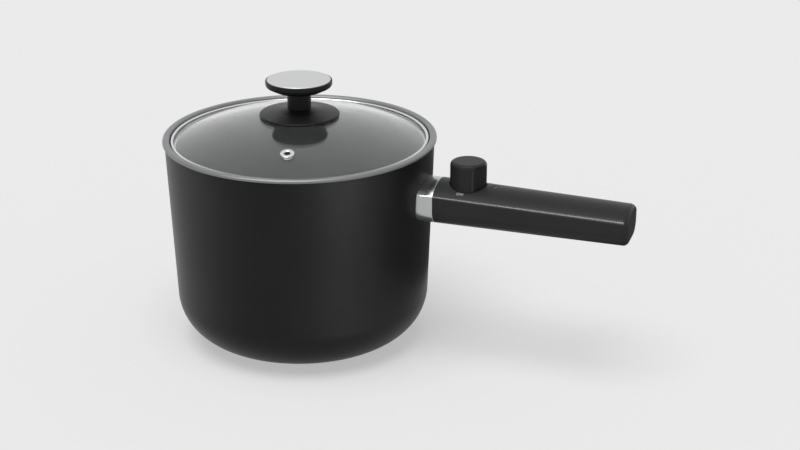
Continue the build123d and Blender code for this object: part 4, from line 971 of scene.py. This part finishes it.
# CAD pieces that stay, each with its own finish
keptFinish = {
    zincSteel: ["standoffs", "element_pins", "thermostat_bracket", "fuse_clip", "plate_screws",
                "mounting_strap", "mounting_screws", "switch_nut", "block_screw", "knob_washer", "knob_screw"],
    plateAluminium: ["heat_shield", "heater_plate", "thermostat_sensor"],
    sheathSteel: ["heating_element"],
    contactBrass: ["thermostat_blades", "switch_blades", "knob_insert"],
    whiteCeramic: ["element_seals", "thermostat_body", "thermal_fuse"],
    brownResin: ["switch_body", "switch_base"],
    whiteNylon: ["switch_shaft", "terminal_block"],
    leadSleeve: ["neutral_lead", "thermostat_lead", "feed_lead", "link_lead", "pin_lead"],
    sealSilicone: ["rim_seal", "knob_gasket", "glass_gasket"],
    footRubber: ["lead_grommet"],
    baseBlack: ["base_cover"],
    lampGlass: ["indicator_lamp"],
}
for material, names in keptFinish.items():
    for name in names:
        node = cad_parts[name]
        node.data.materials.clear()
        node.data.materials.append(material)
print("kept pieces painted")

studio = {
    "backTone": 0.83, "floorTone": 0.84, "worldDiffuse": 0.34, "sunStrength": 2.1, "sunAngle": 45,
    "sunTurn": (15, -3, 0), "floorGlow": 0.52, "floorSize": 14000, "camera": (361.6, -895.0, 455.15),
    "pitch": 68.37, "yaw": 18.24, "lens": 72,
}


def seenRays(tree):
    # 1 for the rays that show a backdrop: straight from the camera, mirrored, or through glass
    rays = tree.nodes.new("ShaderNodeLightPath")
    mirrored = addMath(tree, "MAXIMUM", rays.outputs["Is Glossy Ray"], rays.outputs["Is Transmission Ray"])
    return addMath(tree, "MAXIMUM", rays.outputs["Is Camera Ray"], mirrored)


deselectAll()
bpy.ops.mesh.primitive_plane_add(size=studio["floorSize"] * mm, location=(0, 0, 0))
floor = bpy.context.object
floor.name = "floor"
floorPaint, floorShader = newMaterial("floorPaint", (studio["floorTone"],) * 3, 0.9, 0.0, 0.0)
floorTree = floorPaint.node_tree
glow = floorTree.nodes.new("ShaderNodeEmission")
glow.inputs["Color"].default_value = (studio["backTone"],) * 3 + (1,)
floorMix = floorTree.nodes.new("ShaderNodeMixShader")
floorShare = addMath(floorTree, "MULTIPLY", seenRays(floorTree), studio["floorGlow"])
floorTree.links.new(floorShare, floorMix.inputs["Fac"])
floorTree.links.new(floorShader.outputs[0], floorMix.inputs[1])
floorTree.links.new(glow.outputs[0], floorMix.inputs[2])
floorTree.links.new(floorMix.outputs[0], floorTree.nodes["Material Output"].inputs["Surface"])
floor.data.materials.append(floorPaint)

world = bpy.data.worlds.new("studioWorld")
bpy.context.scene.world = world
world.use_nodes = True
tree = world.node_tree
tree.nodes.clear()
mix = tree.nodes.new("ShaderNodeMix")
mix.data_type = "RGBA"
mix.inputs["A"].default_value = (studio["worldDiffuse"],) * 3 + (1,)
mix.inputs["B"].default_value = (studio["backTone"],) * 3 + (1,)
tree.links.new(seenRays(tree), mix.inputs["Factor"])
background = tree.nodes.new("ShaderNodeBackground")
tree.links.new(mix.outputs["Result"], background.inputs["Color"])
output = tree.nodes.new("ShaderNodeOutputWorld")
tree.links.new(background.outputs[0], output.inputs["Surface"])

sunLight = bpy.data.lights.new("skySun", "SUN")
sunLight.energy = studio["sunStrength"]
sunLight.angle = radians(studio["sunAngle"])
sun = bpy.data.objects.new("skySun", sunLight)
sun.rotation_euler = [radians(turn) for turn in studio["sunTurn"]]
bpy.context.scene.collection.objects.link(sun)

# these lamps only shape the gloss of the pieces named with them
softboxes = {
    "leftBox": {"place": (-2900, -900, 150), "size": (1700, 400), "power": 110.0, "pieces": [outerShell]},
    "bandBox": {"place": (3280, -2280, 130), "size": (2200, 300), "power": 330.0, "pieces": [outerShell]},
    "ridgeStrip": {"place": (-60, -900, 860), "size": (1300, 120), "power": 95.0, "pieces": [handleBody]},
    "rimStrip": {"place": (-60, -900, 860), "size": (1300, 160), "power": 8.0,
                 "pieces": [innerPot, lidRim, ventEyelet, collarPiece]},
}
for name, settings in softboxes.items():
    lamp = bpy.data.lights.new(name, "AREA")
    lamp.shape = "RECTANGLE"
    lamp.size = settings["size"][0] * mm
    lamp.size_y = settings["size"][1] * mm
    lamp.energy = settings["power"]
    stand = bpy.data.objects.new(name, lamp)
    stand.location = Vector(settings["place"]) * mm
    aim = Vector((0, 0, 80)) * mm - stand.location
    stand.rotation_euler = aim.to_track_quat("-Z", "Y").to_euler()
    stand.visible_diffuse = False
    bpy.context.scene.collection.objects.link(stand)
    lit = bpy.data.collections.new(name + "Pieces")
    for piece in settings["pieces"]:
        lit.objects.link(piece)
    stand.light_linking.receiver_collection = lit

# black card on the floor behind the handle, seen only by the gloss
deselectAll()
cardSet = {"place": (330, 300, 1), "size": (440, 620), "turn": -50, "tone": 0.13}
bpy.ops.mesh.primitive_plane_add(
    size=1, location=Vector(cardSet["place"]) * mm, rotation=(0, 0, radians(cardSet["turn"])))
card = bpy.context.object
card.name = "blackCard"
card.scale = (cardSet["size"][0] * mm, cardSet["size"][1] * mm, 1)
card.data.materials.append(newMaterial("cardPaint", (cardSet["tone"],) * 3, 0.9, 0.0, 0.0)[0])
card.visible_camera = False
card.visible_diffuse = False
card.visible_transmission = False
card.visible_shadow = False

cameraData = bpy.data.cameras.new("camera")
cameraData.lens = studio["lens"]
cameraData.sensor_width = 36
cameraData.clip_end = 50
camera = bpy.data.objects.new("camera", cameraData)
camera.location = Vector(studio["camera"]) * mm
camera.rotation_euler = (radians(studio["pitch"]), 0, radians(studio["yaw"]))
bpy.context.scene.collection.objects.link(camera)
bpy.context.scene.camera = camera
bpy.context.scene.view_settings.view_transform = "Standard"
